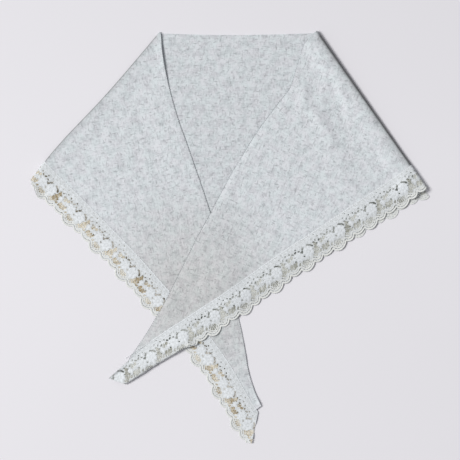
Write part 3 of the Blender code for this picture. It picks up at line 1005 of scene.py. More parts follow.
@dataclass(frozen=True)
class NetFinish(Finish):
    """Fine net behind the flowers, mottled between a pale and a deep tone."""

    pale: Colour
    deep: Colour
    patchy: float = 0.45

    def sockets(self, wire: Wiring, groups: Groups) -> dict:
        """Patches and flecks on the lace's flat map."""
        flat = wire.flat()
        patch = wire.remap(wire.noise(flat, (37, 70, 60), 1.0), 0.38, 0.62,
                           -self.patchy, self.patchy)
        fleck = wire.remap(wire.noise(flat, 300), 0.34, 0.64, 0.15, 0.95)
        share = wire.math("ADD", patch, fleck, clamp=True)
        return {"Base Color": wire.blend(share, self.deep, self.pale), "Roughness": 0.85}


@dataclass(frozen=True)
class ThreadFinish(Finish):
    """Sewing thread, with a twist along each stitch."""

    colour: Colour

    def sockets(self, wire: Wiring, groups: Groups) -> dict:
        """Fine dark turns on the thread."""
        twist = wire.remap(wire.noise(wire.place(), 2600, 1.0), 0.3, 0.7)
        return {"Base Color": wire.blend(twist, self.colour, dimmed(self.colour, 0.8)),
                "Roughness": 0.6}


@dataclass(frozen=True)
class FloorFinish(Finish):
    """Plain pale floor, with painted shade that makes it a little dimmer past the neck edge."""

    colour: Colour = (0.757, 0.752, 0.787)
    # share of the colour left past the neck edge: painted shade
    top: float = 0.955

    def sockets(self, wire: Wiring, groups: Groups) -> dict:
        """Faint clouds, with painted shade along Y."""
        place = wire.place()
        cloud = wire.remap(wire.noise(place, 3), 0.3, 0.7)
        tone = wire.blend(cloud, self.colour, dimmed(self.colour, 0.985))
        # painted shade: the floor darker past the neck edge
        top = wire.remap(wire.level(place), 0.1, 0.32)
        return {"Base Color": wire.blend(top, tone, dimmed(self.colour, self.top)),
                "Roughness": 0.8, "Specular IOR Level": 0.1}


# ---------- layout
class Layout:
    """Folds, rims and the height of each layer, from the floor up."""

    COARSE = 6.0                 # spacing of the outlines that the height map reads, mm
    FINE = 1.0                   # spacing of an outline round a fold, mm
    LACE_EDGES = 4.0, 1.5        # how far within the lace its outline keeps, mm
    BACK_EASE = 20.0, 12.0, 8.0  # the back's reach and evening radii, mm
    NEAR = 0.01                  # how far out a point may lie and be on the fold, mm

    def __init__(self) -> None:
        """Work out the folds, the rims and where every layer lies."""
        self.folds = {side: Fold(end.sections[0], end.roll) for side, end in ENDS.items()}
        self.rims = {side: Rim([row[2:4] for row in end.sections]) for side, end in ENDS.items()}
        self.back_rims = {}
        for side, fold in self.folds.items():
            shows = CLOTH.back_shows if side is Side.RIGHT else 0.0
            self.back_rims[side] = Rim([fold.neck + (fold.length + shows) * fold.along, APEX])
        self.cloth_lays: dict[Side, Lay] = {}
        self.lace_lays: dict[Side, Lay] = {}
        self.settle()

    def long_edge(self, side: Side, step: float = COARSE) -> Array:
        """Long edge of a folded end, from the neck on."""
        return smooth_curve([row[:2] for row in ENDS[side].sections], step)

    def leg_start(self, side: Side) -> float:
        """Distance along the fold where the raw edge of the leg crosses it."""
        fold, rim = self.folds[side], self.back_rims[side]
        corner = meet(fold.neck, fold.along, rim.point(0.0, CLOTH.overhang), rim.tangent[0])
        return float((corner - fold.neck) @ fold.along)

    def back_outline(self, step: float) -> Array:
        """Outline of the back, from the right neck corner clockwise.

        Args:
            step: Spacing of its points, mm.

        Returns:
            The closed outline, mm.
        """
        left, right = (fold.neck for fold in self.folds.values())
        low_left, low_right = (fold.neck + self.leg_start(side) * fold.along
                               for side, fold in self.folds.items())
        left_leg, right_leg = (rim.tangent[0] for rim in self.back_rims.values())
        point = meet(low_right, right_leg, low_left, left_leg)
        neck = stretch(left, right, step)
        share = 2 * (neck[:, 0] - left[0]) / (right[0] - left[0]) - 1
        neck[:, 1] -= CLOTH.neck_dip * (1 - share ** 2)
        corners = (right, low_right, point, low_left, left)
        return np.vstack([*(stretch(a, b, step) for a, b in zip(corners, corners[1:])), neck])

    def front_outline(self, side: Side, step: float) -> Array:
        """Unrolled outline of a folded end, from the back's edge round the roll.

        Args:
            side: Which end.
            step: Spacing of its points, mm.

        Returns:
            The closed outline, mm.
        """
        fold, rim = self.folds[side], self.rims[side]
        start = self.leg_start(side)
        row = fold.at(np.linspace(start, 0, max(2, round(start / step) + 1)), 1.0)
        leg = rim.point(np.arange(step, rim.length - CLOTH.band, step), CLOTH.overhang)
        neck = stretch(row[-1], fold.neck, self.FINE)[1:]
        turn = stretch(fold.at(start, 0.0), row[0], self.FINE)[1:]
        return np.vstack([row, neck, self.long_edge(side, step), leg[::-1], turn])

    def lace_loop(self, rim: Rim) -> Array:
        """Plain outline of a strip of lace, for the height map."""
        along = np.arange(0, rim.length, self.COARSE)
        tips, heading = self.LACE_EDGES
        return np.vstack([rim.point(along, tips), rim.point(along, CLOTH.band - heading)[::-1]])

    def settle(self) -> None:
        """Lay each layer on those below it."""
        heap = Heap()
        for rim in self.back_rims.values():
            heap.stamp(self.lace_loop(rim), lambda plan: np.zeros(len(plan)), CLOTH.lace)
        self.back = heap.drape(*self.BACK_EASE)
        heap.stamp(self.back_outline(self.COARSE), self.back, CLOTH.knit)
        for side, end in ENDS.items():
            fold = self.folds[side]
            cloth = Lay(fold, self.back, heap.drape(*end.knit_ease), end.swells, -CLOTH.knit)
            loop = self.front_outline(side, self.COARSE)
            heap.stamp(loop[fold.locate(loop)[1] <= self.NEAR], cloth.low, CLOTH.knit)
            lace = Lay(fold, self.back, heap.drape(*end.lace_ease), end.lace_swells, CLOTH.gap)
            heap.stamp(self.lace_loop(self.rims[side]), lace.low, CLOTH.lace)
            self.cloth_lays[side], self.lace_lays[side] = cloth, lace


# ---------- knit body
@dataclass
class KnitBody:
    """The knit triangle as one shell: the back, and both ends round their folds.

    Attributes:
        layout: Where the layers lie.
        cell: Spacing of the mesh, mm.
        back_cell: The back's spacing, in cells.
        turns: Rows of points round a fold.
        hem: Width of the turned hem along the neck edge, mm.
        hem_rise: How far the hem stands up, mm.
        hem_wall: Share of the wall that is left at the long edge.
        edge: Width over which the wall is thinned, mm.
        tail: Where the left tail begins, mm along Y.
        weld: How near points of two stretches are joined, m.
    """

    UNEVEN = 0.7         # how far the hem's rise wavers, in rises
    RIPPLES = 4.3, 11.0  # lengths of its two waves, mm
    FOLD_REACH = 12.0    # how far from the fold the hem has its full rise, mm
    SHOULDER = 3.2       # steepness of the hem's inner edge
    NECK_REACH = 62.0    # how fast the full wall at the neck gives way, mm
    NECK_FULL = 1.8      # where it begins to, in such reaches
    TAIL_REACH = 40.0    # how far into the tail its wall is full, mm

    layout: Layout
    cell: float = 3.0
    back_cell: float = 1.35
    turns: int = 9
    hem: float = 6.5
    hem_rise: float = 0.22
    hem_wall: float = 0.4
    edge: float = 6.0
    tail: float = -110.0
    weld: float = 0.00015

    def rise(self, plan: Array, side: Side) -> Array:
        """Rise of the hem along a long edge, a little uneven."""
        share = ramp(1 - distance_to(plan, self.layout.long_edge(side)) / self.hem)
        short, long = self.RIPPLES
        ripple = np.sin(plan[:, 1] / short) * np.sin(plan[:, 1] / long + 1.0)
        inner = ramp(-self.layout.folds[side].locate(plan)[1] / self.FOLD_REACH)
        return (self.hem_rise * (1 + self.UNEVEN * ripple)
                * np.minimum(1, self.SHOULDER * share) * inner)

    def wall(self, plan: Array, side: Side) -> Array:
        """Share of the full wall, thinned along a long edge, but not at the neck or left tail."""
        line = self.layout.long_edge(side)
        share = self.hem_wall + (1 - self.hem_wall) * ramp(distance_to(plan, line) / self.edge)
        neck = ramp(self.NECK_FULL - np.linalg.norm(plan - line[0], axis=1) / self.NECK_REACH)
        tail = ramp((self.tail - plan[:, 1]) / self.TAIL_REACH) * (side is Side.LEFT)
        return np.maximum(share, np.maximum(neck, tail))

    def add_front(self, parts: Parts, side: Side) -> None:
        """Add a folded end by its inner face.

        Args:
            parts: What it is added to.
            side: Which end.
        """
        fold = self.layout.folds[side]
        outline = self.layout.front_outline(side, self.cell)
        start = self.layout.leg_start(side)
        marks = np.linspace(start, 0, max(2, round(start / self.cell) + 1))[1:-1]
        columns = [fold.at(along, share) for along in marks
                   for share in np.arange(0.0, 1.0, 1 / self.turns)]
        cells = grid_inside(outline, self.cell)
        cells = cells[fold.locate(cells)[1] < -0.6 * self.cell]
        plan, triangles, _ = triangulated(np.vstack([outline, cells, columns]),
                                          ring(len(outline)), 1e-5)
        along, out = fold.locate(plan)
        reach = math.pi * fold.radius(along) - out
        unfolded = fold.neck + along[:, None] * fold.along + reach[:, None] * fold.out
        parts.add(in_frame(self.layout.cloth_lays[side].at(plan, self.rise(plan, side))),
                  triangles, flat=unfolded * MM, wall=self.wall(plan, side),
                  fold_shade=fold.painted_fold_shade(plan))

    def add_back(self, parts: Parts) -> None:
        """Add the upper face of the back, turned to face down."""
        outline = self.layout.back_outline(self.cell)
        cells = grid_inside(outline, self.cell * self.back_cell)
        plan, triangles, _ = triangulated(np.vstack([outline, cells]), ring(len(outline)), 1e-5)
        place = np.column_stack([plan, self.layout.back(plan) + CLOTH.knit])
        parts.add(in_frame(place), triangles[:, ::-1], flat=plan * MM, wall=np.ones(len(plan)),
                  fold_shade=np.zeros(len(plan)))

    def build(self, inner: Material, outer: Material) -> Piece:
        """Model the body, weld its stretches and give it its wall.

        Args:
            inner: Finish of the side that the back shows.
            outer: Finish of the side that the folded ends show.

        Returns:
            The piece.
        """
        parts = Parts()
        self.add_back(parts)
        for side in Side:
            self.add_front(parts, side)
        shares = np.concatenate(parts.values.pop("wall"))
        piece = parts.piece("shawl_body", [outer, inner])
        thinned = piece.vertex_groups.new(name="wall")
        for k, share in enumerate(shares):
            thinned.add([k], float(share), "REPLACE")
        weld(piece, self.weld)
        wall = piece.modifiers.new("wall", "SOLIDIFY")
        wall.vertex_group = thinned.name
        wall.thickness = CLOTH.knit * MM
        wall.offset = 1.0
        wall.material_offset = 1
        select_only(piece)
        bpy.ops.object.modifier_apply(modifier=wall.name)
        piece.vertex_groups.clear()
        return smoothed(piece, SHARP)

    def hem_runs(self) -> list["Run"]:
        """Rows of stitches along both long edges.

        Returns:
            A run for each end.
        """
        runs = []
        for side in Side:
            line = Rim([row[:2] for row in ENDS[side].sections])

            def place(plan: Array, lift: Array, side: Side = side) -> Array:
                """Lay stitch points on the hem."""
                face = self.rise(plan, side) + CLOTH.knit * self.wall(plan, side)
                return self.layout.cloth_lays[side].at(plan, lift + face)

            runs.append(Run(line, into=-0.5, start=14.0, stop=line.length - 3.0, slant=24.0,
                            place=place))
        return runs


# ---------- sewing
class Run(NamedTuple):
    """Row of stitches: its line, distance in, start, stop, slant in degrees, and what holds it."""

    line: Rim
    into: float
    start: float
    stop: float
    slant: float
    place: Lift


@dataclass
class Stitching:
    """Small hand stitches, one shape copied along its rows.

    Attributes:
        pitch: Distance from one stitch to the next, mm.
        length: Length of a stitch, mm.
        half: Half its width, mm.
        flatness: Its height, in widths.
        sway: How far its slant wanders, degrees.
        stray: How far its place wanders, mm.
    """

    SIDES = 5          # corners of a stitch's section
    RINGS = 5          # its sections
    ENDS_AT = 0.96     # place of the outer ones, in half lengths
    WANDER = 2.3, 5.1  # turns of its slant and of its place from one to the next, radians

    pitch: float = 2.8
    length: float = 2.3
    half: float = 0.4
    flatness: float = 0.8
    sway: float = 9.0
    stray: float = 0.25

    def shape(self) -> tuple[Array, Faces]:
        """Rounded bar that lies along the first axis, with its faces.

        Returns:
            Its points and its faces.
        """
        points, faces = [], []
        for x in np.linspace(-self.ENDS_AT, self.ENDS_AT, self.RINGS):
            radius = self.half * math.sqrt(1 - x * x)
            for turn in np.arange(self.SIDES) * 2 * math.pi / self.SIDES:
                points.append((x * self.length / 2, radius * math.cos(turn),
                               self.flatness * radius * math.sin(turn)))
        last = (self.RINGS - 1) * self.SIDES
        for first in range(0, last, self.SIDES):
            for a, b in ring(self.SIDES):
                a, b = first + a, first + b
                faces += [(a, b, b + self.SIDES), (a, b + self.SIDES, a + self.SIDES)]
        for k in range(1, self.SIDES - 1):
            faces += [(0, k + 1, k), (last, last + k, last + k + 1)]
        return np.array(points), faces

    def build(self, name: str, runs: Sequence[Run], finish: Material) -> Piece:
        """Sew every row.

        Args:
            name: Name of the piece.
            runs: Its rows.
            finish: Its material.

        Returns:
            The piece.
        """
        shape, faces = self.shape()
        x, y, z = shape.T
        slant, stray = self.WANDER
        parts = Parts()
        for run in runs:
            marks = np.arange(run.start, run.stop, self.pitch)[:, None]
            step = np.arange(len(marks))[:, None]
            turn = np.radians(run.slant + self.sway * np.sin(slant * step))
            along = marks + self.stray * np.sin(stray * step) + x * np.cos(turn) - y * np.sin(turn)
            into = run.into + x * np.sin(turn) + y * np.cos(turn)
            plan = run.line.point(along.reshape(-1), into.reshape(-1))
            placed = in_frame(run.place(plan, np.tile(z, len(marks))))
            for stitch in placed.reshape(len(marks), -1, 3):
                parts.add(stitch, faces)
        return smoothed(parts.piece(name, [finish]), SHARP)


# ---------- lace repeat
class Scallop(NamedTuple):
    """Scallop: its start along the repeat, its width, its tip and the notch at its start."""

    start: float
    width: float
    tip: float
    notch: float


class Petal(NamedTuple):
    """Domed leaf or petal: its middle, length, width, direction and height."""

    along: float
    into: float
    length: float
    width: float
    degrees: float
    height: float


class Arc(NamedTuple):
    """Part of a ring: its centre, radius, first and last angle, and half width."""

    along: float
    into: float
    radius: float
    first: float
    last: float
    half: float


class Bar(NamedTuple):
    """Straight stroke: its two ends and half width."""

    along: float
    into: float
    to_along: float
    to_into: float
    half: float


def rays(first: float, last: float, count: int) -> list[tuple[float, float, float]]:
    """Directions spread between two angles: degrees, cosine and sine of each."""
    return [(a, math.cos(math.radians(a)), math.sin(math.radians(a)))
            for a in np.linspace(first, last, count)]


def fan(along: float, into: float, first: float, last: float, count: int, near: float,
        far: float, half: float) -> list[Bar]:
    """Strokes that radiate from a centre."""
    return [Bar(along + near * x, into + near * y, along + far * x, into + far * y, half)
            for _, x, y in rays(first, last, count)]


def flower(along: float, into: float, first: float, last: float, reach: float, length: float,
           width: float, height: float, centre: float, crown: float) -> list[Petal]:
    """Seven petals round a raised centre."""
    return [Petal(along, into, centre, centre, 0, crown),
            *(Petal(along + reach * x, into + reach * y, length, width, degrees, height)
              for degrees, x, y in rays(first, last, 7))]


@dataclass
class LaceRepeat:
    """Chart of one repeat of the lace, and the relief worked from it.

    Along runs from the left end of the shawl to the right one, centred on a large scallop, and
    into is the distance from the line through the scallop tips towards the cloth.

    Attributes:
        pitch: Length of the repeat, mm.
        columns: Cells of its mesh along it.
        base: Thickness of the flat ground, mm.
    """

    SCALLOPS = table(Scallop, (-10.9, 21.8, -0.9, 5.2), (10.9, 16.4, 3.0, 5.6),
                     (27.3, 14.6, 2.2, 7.0))
    FLOWERS = (
        *flower(-9.4, 20.6, 10, 318, 5.2, 6.3, 4.2, 0.42, 4.2, 0.36),
        *flower(5.4, 20.2, 14, 323, 4.2, 5.6, 3.5, 0.36, 3.6, 0.32),
    )
    LEAVES = table(
        Petal,
        (13.6, 21.4, 6.6, 3.2, 30, 0.34), (25.0, 20.4, 8.4, 3.8, 76, 0.36),
        (10.8, 14.0, 6.0, 2.8, -40, 0.3), (-2.0, 14.4, 6.0, 2.6, 12, 0.28),
        (-9.6, 12.2, 5.4, 2.6, -8, 0.28), (-18.6, 31.0, 6.4, 3.2, 28, 0.3),
        (-9.0, 31.4, 6.8, 3.2, -14, 0.3), (0.4, 30.6, 6.2, 3.0, -34, 0.3),
        (9.0, 24.6, 6.4, 3.2, 10, 0.32), (18.4, 29.4, 5.6, 3.0, 34, 0.3),
        (-24.6, 31.6, 6.0, 3.0, -50, 0.3))
    STEMS = (
        *fan(0.5, 17.4, -135, -45, 6, 3.6, 13.0, 0.42),
        *fan(-9.4, 20.6, 12, 96, 4, 6.6, 10.8, 0.34),
        *table(
            Bar,
            (-22.6, 15.6, -15.8, 19.8, 0.34), (-20.6, 10.2, -14.4, 14.6, 0.34),
            (-24.6, 20.0, -19.4, 23.6, 0.32), (14.2, 17.6, 17.4, 9.2, 0.3),
            (17.8, 17.4, 21.8, 10.4, 0.32), (16.6, 29.0, 18.2, 22.6, 0.4),
            (20.4, 28.6, 21.4, 22.4, 0.36)),
    )
    EYELETS = (
        *table(
            Arc,
            (-9.4, 20.6, 9.1, 18, 34, 1.1), (-9.4, 20.6, 9.4, 46, 68, 1.2),
            (-9.4, 20.6, 9.0, 102, 120, 1.05), (-9.4, 20.6, 9.3, 132, 154, 1.25)),
        *table(
            Bar,
            (-13.2, 32.4, -12.4, 31.8, 0.8), (6.6, 29.6, 8.4, 28.4, 1.0),
            (11.4, 28.2, 12.6, 29.2, 1.1), (15.2, 31.2, 16.0, 32.0, 0.8),
            (22.0, 27.4, 23.4, 26.6, 1.1), (-25.6, 30.6, -25.2, 29.2, 0.9),
            (-22.6, 27.4, -21.2, 28.4, 1.0), (-13.6, 8.6, -12.4, 10.2, 1.0),
            (11.6, 8.0, 12.8, 7.8, 0.6), (23.6, 11.6, 24.4, 10.6, 0.8),
            (17.0, 7.0, 18.4, 6.8, 0.5)),
    )
    PINS = tuple(Bar(x, y, x + 1.1, y + 0.6, half + 0.14) for x, y, half in (
        (0.0, 24.6, 0.6), (-1.6, 17.6, 0.6), (12.4, 17.6, 0.7), (10.4, 22.2, 0.55),
        (0.8, 13.6, 0.5), (-15.6, 15.6, 0.55), (-17.6, 19.8, 0.6), (2.2, 27.6, 0.75),
        (27.2, 24.4, 0.7), (28.0, 17.4, 0.6), (26.4, 31.0, 0.6), (-5.6, 30.0, 0.6),
        (-13.6, 29.2, 0.6), (5.0, 32.2, 0.7), (13.2, 32.0, 0.6), (20.8, 32.4, 0.7),
        (-21.6, 33.6, 0.6), (-10.4, 34.0, 0.55), (-1.6, 33.6, 0.6), (8.6, 36.6, 0.5),
        (16.4, 36.4, 0.55), (-17.0, 37.2, 0.5), (-4.4, 38.0, 0.5), (24.6, 37.4, 0.5)))
    OPENINGS = (
        *table(
            Bar,
            (-22.4, 25.4, -21.8, 22.4, 2.3), (-21.2, 20.6, -19.0, 17.0, 2.9),
            (-18.4, 14.6, -16.2, 11.2, 3.3), (-23.6, 16.4, -21.4, 13.4, 1.3),
            (16.6, 13.6, 18.0, 12.6, 3.9), (21.2, 15.8, 22.0, 14.0, 2.3),
            (13.0, 15.6, 13.6, 13.6, 1.5), (15.2, 26.2, 16.6, 25.2, 1.9),
            (19.8, 25.6, 20.8, 23.6, 2.1), (-26.2, 13.4, -24.8, 12.4, 1.4),
            (8.8, 12.4, 9.6, 11.0, 1.3)),
        *fan(0.5, 17.4, -126, -54, 5, 5.2, 11.4, 1.6),
    )
    # middle, half width and height of the rim's cords, mm
    CORDS = (1.1, 1.1, 0.4), (4.2, 0.9, 0.32), (6.6, 0.7, 0.24)
    CORDS_END = 11.5          # how far in the rim's cords reach, mm
    SLIT = 2.75, 0.34         # middle and half width of the slit between the rim's cords, mm
    SLIT_END = 9.0            # how far in the slit reaches, mm
    TIES = 3.3, 0.35          # spacing and half width of the ties across it, mm
    STROKE_RISE = 0.3         # height of stems and bars, mm
    GROUND_RISE = 0.06        # height of the ground's relief, mm
    VEIN = 0.4, 0.35          # depth of a petal's vein, in heights, and its half width, mm
    TAPER = 0.25              # how much a petal narrows towards its end
    HEADING = 0.8, 0.7, 0.22  # the same for the heading's cord
    WAVES = 7, 0.5            # waves of the heading in a repeat, and their height, mm
    STEM = 35.0, 1.3          # middle of the garland's stem, and how far it sways, mm
    STEM_STEPS = 16           # pieces that it is drawn in
    EDGE_STEPS = 14           # pieces that a scallop's edge is drawn in
    BULGE = 0.7               # how pointed a scallop is; less is rounder
    FADE = 0.15, 2.0          # share of the relief left at the heading, and where it is full, mm

    pitch: float = 52.8
    columns: int = 77
    base: float = 0.3

    def crest(self, along: float) -> float:
        """Line that the garland's stem follows."""
        middle, sway = self.STEM
        return middle + sway * math.sin(4 * math.pi * along / self.pitch + 0.8)

    def petals(self) -> list[Petal]:
        """Raised flowers and leaves, with the garland's own along its stem.

        Returns:
            The petals.
        """
        rows = [*self.FLOWERS, *self.LEAVES]
        for k in range(8):
            along = -23.1 + 6.6 * k
            crest = self.crest(along)
            rows.append(Petal(along, crest + 3.1, 5.6, 3.1, 54 + 13 * (k % 3), 0.3))
            rows.append(Petal(along + 3.4, crest - 2.1, 4.6, 2.4, -52 - 12 * (k % 2), 0.28))
        return rows

    def strokes(self) -> list[Bar]:
        """Bars across the openings, and stems."""
        marks = np.linspace(-self.pitch / 2, self.pitch / 2, self.STEM_STEPS + 1)
        return [*self.STEMS, *(Bar(a, self.crest(a), b, self.crest(b), 0.45)
                               for a, b in zip(marks, marks[1:]))]

    def offset(self, plan: Array, row: Petal | Arc | Bar) -> Array:
        """Offsets of points from the nearest copy of a place, one row for each coordinate."""
        shift = plan[:, 0] - row.along
        return np.array([shift - self.pitch * np.round(shift / self.pitch),
                         plan[:, 1] - row.into])

    def field_of(self, plan: Array, row: Arc | Bar) -> Array:
        """Distance of points inside the edge of a part of a ring or a straight stroke.

        Args:
            plan: Plan points, mm.
            row: The part of a ring, or the stroke.

        Returns:
            The distances, mm, below zero outside it.
        """
        spot = self.offset(plan, row)
        if isinstance(row, Arc):
            angle = np.radians(np.clip(np.degrees(np.arctan2(spot[1], spot[0])),
                                       row.first, row.last))
            near = row.radius * np.array([np.cos(angle), np.sin(angle)])
        else:
            run = np.array([row.to_along - row.along, row.to_into - row.into])
            near = run[:, None] * ramp(run @ spot / max(float(run @ run), 1e-9))
        return row.half - np.hypot(*(spot - near))

    def petal_share(self, plan: Array, row: Petal) -> tuple[Array, Array]:
        """How near the middle of a petal points are, and their offset from its vein."""
        x, y = self.offset(plan, row)
        turn = math.radians(row.degrees)
        along = x * math.cos(turn) + y * math.sin(turn)
        across = y * math.cos(turn) - x * math.sin(turn)
        taper = 1 - self.TAPER * along / row.length
        reach = np.hypot(along / (row.length / 2), across / (row.width / 2 * taper))
        return 1 - reach, across

    def edge_line(self) -> Array:
        """Line of the scalloped edge over three repeats.

        Returns:
            Its points, mm.
        """
        points = []
        for copy in (-1, 0, 1):
            for row, after in zip(self.SCALLOPS, (*self.SCALLOPS[1:], self.SCALLOPS[0])):
                for share in np.arange(self.EDGE_STEPS) / self.EDGE_STEPS:
                    bulge = math.sin(math.pi * share) ** self.BULGE
                    notch = row.notch + (after.notch - row.notch) * share
                    points.append((copy * self.pitch + row.start + row.width * share,
                                   notch - (notch - row.tip) * bulge))
        return np.array(points)

    def void(self, plan: Array, rim: Array) -> Array:
        """How far inside the gaps points are, with the slit between the rim's cords."""
        middle, half = self.SLIT
        slit = np.minimum(half - np.abs(rim - middle), self.SLIT_END - plan[:, 1])
        spacing, tie = self.TIES
        ties = np.abs((plan[:, 0] / spacing) % 1 - 0.5) * spacing - tie
        gaps = self.deepest(plan, (*self.OPENINGS, *self.EYELETS, *self.PINS))
        return np.maximum(gaps, np.minimum(slit, ties))

    def relief(self, plan: Array) -> tuple[Array, Array]:
        """Lace over points of the chart.

        Args:
            plan: Along and into of each point.

        Returns:
            How far inside the lace's edge each point is, and the height of the relief there.
        """
        line = self.edge_line()
        beyond = np.interp(plan[:, 0], line[:, 0], line[:, 1])
        rim = distance_to(plan, line) * np.where(plan[:, 1] > beyond, 1, -1)
        count, deep = self.WAVES
        waves = np.abs(np.sin(count * math.pi * plan[:, 0] / self.pitch))
        heading = CLOTH.band - deep * waves - plan[:, 1]
        solid = np.minimum(np.minimum(rim, heading), -self.void(plan, rim))
        height = np.where(solid > 0, self.GROUND_RISE, 0.0)
        bands = [(np.minimum(half - np.abs(rim - middle), self.CORDS_END - plan[:, 1]), half, rise)
                 for middle, half, rise in self.CORDS]
        bands += [(self.field_of(plan, row), row.half, self.STROKE_RISE)
                  for row in self.strokes()]
        for band, half, rise in bands:
            cut = np.minimum(band, rim)
            solid = np.maximum(solid, cut)
            height = np.maximum(height, self.domed(cut, half, rise))
        groove, vein_half = self.VEIN
        for row in self.petals():
            share, across = self.petal_share(plan, row)
            solid = np.maximum(solid, np.minimum(share * row.width / 2, np.minimum(rim, heading)))
            dome = np.sqrt(ramp(1 - (1 - share) ** 2)) * (share > 0)
            vein = 1 - groove * np.exp(-(across / vein_half) ** 2)
            height = np.maximum(height, row.height * dome * vein)
        least, full = self.FADE
        height *= ramp(least + heading / full)
        middle, half, rise = self.HEADING
        height = np.maximum(height, self.domed(half - np.abs(heading - middle), half, rise))
        return solid, height

    def deepest(self, plan: Array, rows: Iterable[Bar | Arc]) -> Array:
        """How far inside the nearest of several openings points are."""
        total = np.full(len(plan), -9.0)
        for row in rows:
            total = np.maximum(total, self.field_of(plan, row))
        return total

    @staticmethod
    def domed(band: Array, half: float, rise: float) -> Array:
        """Round profile of a cord from the distance inside its edge."""
        return rise * np.sqrt(1 - (1 - ramp(band / half)) ** 2)


class Tile(NamedTuple):
    """Mesh of one flat repeat.

    Its vertices (along, into and lift, mm), its faces, turned outwards, and the share of white
    laid thread at each vertex.
    """

    points: Array
    faces: Faces
    relief: Array


@dataclass
class TileMaker:
    """Cuts the charted repeat out as a closed mesh, open only where repeats join.

    Attributes:
        chart: The charted repeat.
        columns: Cells along it.
        low: Where the grid begins, mm in from the tips.
        past: How far past the heading it goes, mm.
        nearest: Least distance of a grid point from the lace's edge, mm.
        least: Least share of a grid line that the edge leaves at either end.
        clear: Least distance of a point of the underside from its edge, mm.
        under_step: Spacing of those points, along and in, mm.
        under_start: Where they begin, along and in, mm.
        under_shift: How far every second row is moved along, mm.
        under_stop: How far before the repeat's end they stop, mm.
        under_white: Thickness of laid thread that the underside shows, mm.
        full_white: Height at which the thread is wholly white, mm.
    """

    chart: LaceRepeat
    columns: int
    low: float = -2.4
    past: float = 1.2
    nearest: float = 0.04
    least: float = 0.08
    clear: float = 0.9
    under_step: tuple[float, float] = (4.0, 3.6)
    under_start: tuple[float, float] = (2.0, 2.0)
    under_shift: float = 1.8
    under_stop: float = 1.5
    under_white: float = 0.2
    full_white: float = 0.3

    def samples(self) -> tuple[Array, Array, Array]:
        """Points of the sampling grid, column by column, and the chart's values there.

        Returns:
            The points, how far inside the lace they are, and its height, mm.
        """
        step = self.chart.pitch / self.columns
        rows = math.ceil((CLOTH.band + self.past - self.low) / step)
        axes = np.meshgrid(-self.chart.pitch / 2 + step * np.arange(self.columns + 1),
                           self.low + step * np.arange(rows + 1), indexing="ij")
        plan = np.stack(axes, -1).reshape(-1, 2)
        solid, height = self.chart.relief(plan)
        for values in (solid, height):
            values[-rows - 1:] = values[: rows + 1]
        solid = np.where(np.abs(solid) < self.nearest, self.nearest * np.sign(solid + 1e-9),
                         solid)
        return plan, solid, height

    def build(self) -> Tile:
        """Contour the chart, and close it with walls and a flat underside.

        Returns:
            The repeat.
        """
        plan, solid, height = self.samples()
        stride = len(plan) // (self.columns + 1)
        spots: list[tuple[float, float, float]] = []
        names: dict[tuple[int, int], int] = {}

        def vertex(a: int, b: int) -> int:
            """Vertex at a grid point, or where the lace's edge crosses a grid line."""
            a, b = key = (min(a, b), max(a, b))
            if key not in names:
                names[key] = len(spots)
                if a == b:
                    spots.append((*plan[a], height[a]))
                else:
                    share = solid[a] / (solid[a] - solid[b])
                    share = min(max(share, self.least), 1 - self.least)
                    spots.append((*(plan[a] + share * (plan[b] - plan[a])), 0.0))
            return names[key]

        top = []
        for i in range(self.columns):
            for j in range(stride - 1):
                a, d = i * stride + j, i * stride + j + 1
                b, c = a + stride, d + stride
                for tri in ((a, b, c), (a, c, d)) if (i + j) % 2 == 0 else ((a, b, d), (b, c, d)):
                    loop = []
                    for p, q in zip(tri, (*tri[1:], tri[0])):
                        if solid[p] > 0:
                            loop.append(vertex(p, p))
                        if (solid[p] > 0) != (solid[q] > 0):
                            loop.append(vertex(p, q))
                    top += [(loop[0], *pair) for pair in zip(loop[1:], loop[2:])]
        return self.closed(np.array(spots), top)

    def closed(self, spots: Array, top: list[tuple[int, ...]]) -> Tile:
        """Add the walls and the underside to the contoured top.

        Args:
            spots: Its vertices, with the relief as the third value.
            top: Its triangles.

        Returns:
            The tile.
        """
        sides = {(tri[a], tri[b]): None for tri in top for a, b in ring(3)}
        edges = [(a, b) for a, b in sides if (b, a) not in sides]
        seam = np.abs(np.abs(spots[:, 0]) - self.chart.pitch / 2) < 1e-6
        border = sorted({k for edge in edges for k in edge})
        under = {k: n for n, k in enumerate(border)}
        flat = spots[:, :2]
        extra = self.under_points(*(flat[list(ends)] for ends in zip(*edges)))
        plan, triangles, sources = triangulated(
            np.vstack([flat[border], extra]), [(under[a], under[b]) for a, b in edges], 1e-7)
        where = {k: new + len(spots) for new, old in enumerate(sources) for k in old}
        faces = [*top, *(tuple(tri) for tri in triangles[:, ::-1] + len(spots))]
        faces += [(b, a, where[under[a]], where[under[b]]) for a, b in edges
                  if not (seam[a] and seam[b])]
        points = np.vstack([np.column_stack([flat, self.chart.base + spots[:, 2]]),
                            np.column_stack([plan, np.zeros(len(plan))])])
        white = np.concatenate([spots[:, 2], np.full(len(plan), self.under_white)])
        return Tile(points, faces, ramp(white / self.full_white))

    def under_points(self, starts: Array, ends: Array) -> Array:
        """Sparse points for the underside, clear of every edge.

        Args:
            starts: Where the edges start, mm.
            ends: Where they end, mm.

        Returns:
            The points, mm.
        """
        half = self.chart.pitch / 2
        step, row_step = self.under_step
        first, low = self.under_start
        rows = []
        for k, into in enumerate(np.arange(low, CLOTH.band, row_step)):
            along = np.arange(-half + first + self.under_shift * (k % 2), half - self.under_stop,
                              step)
            rows.append(np.column_stack([along, np.full(len(along), into)]))
        points = np.vstack(rows)
        points = points[within(points, starts, ends)]
        near = np.min([distance_to(points, np.array(pair)) for pair in zip(starts, ends)], axis=0)
        return points[near > self.clear]


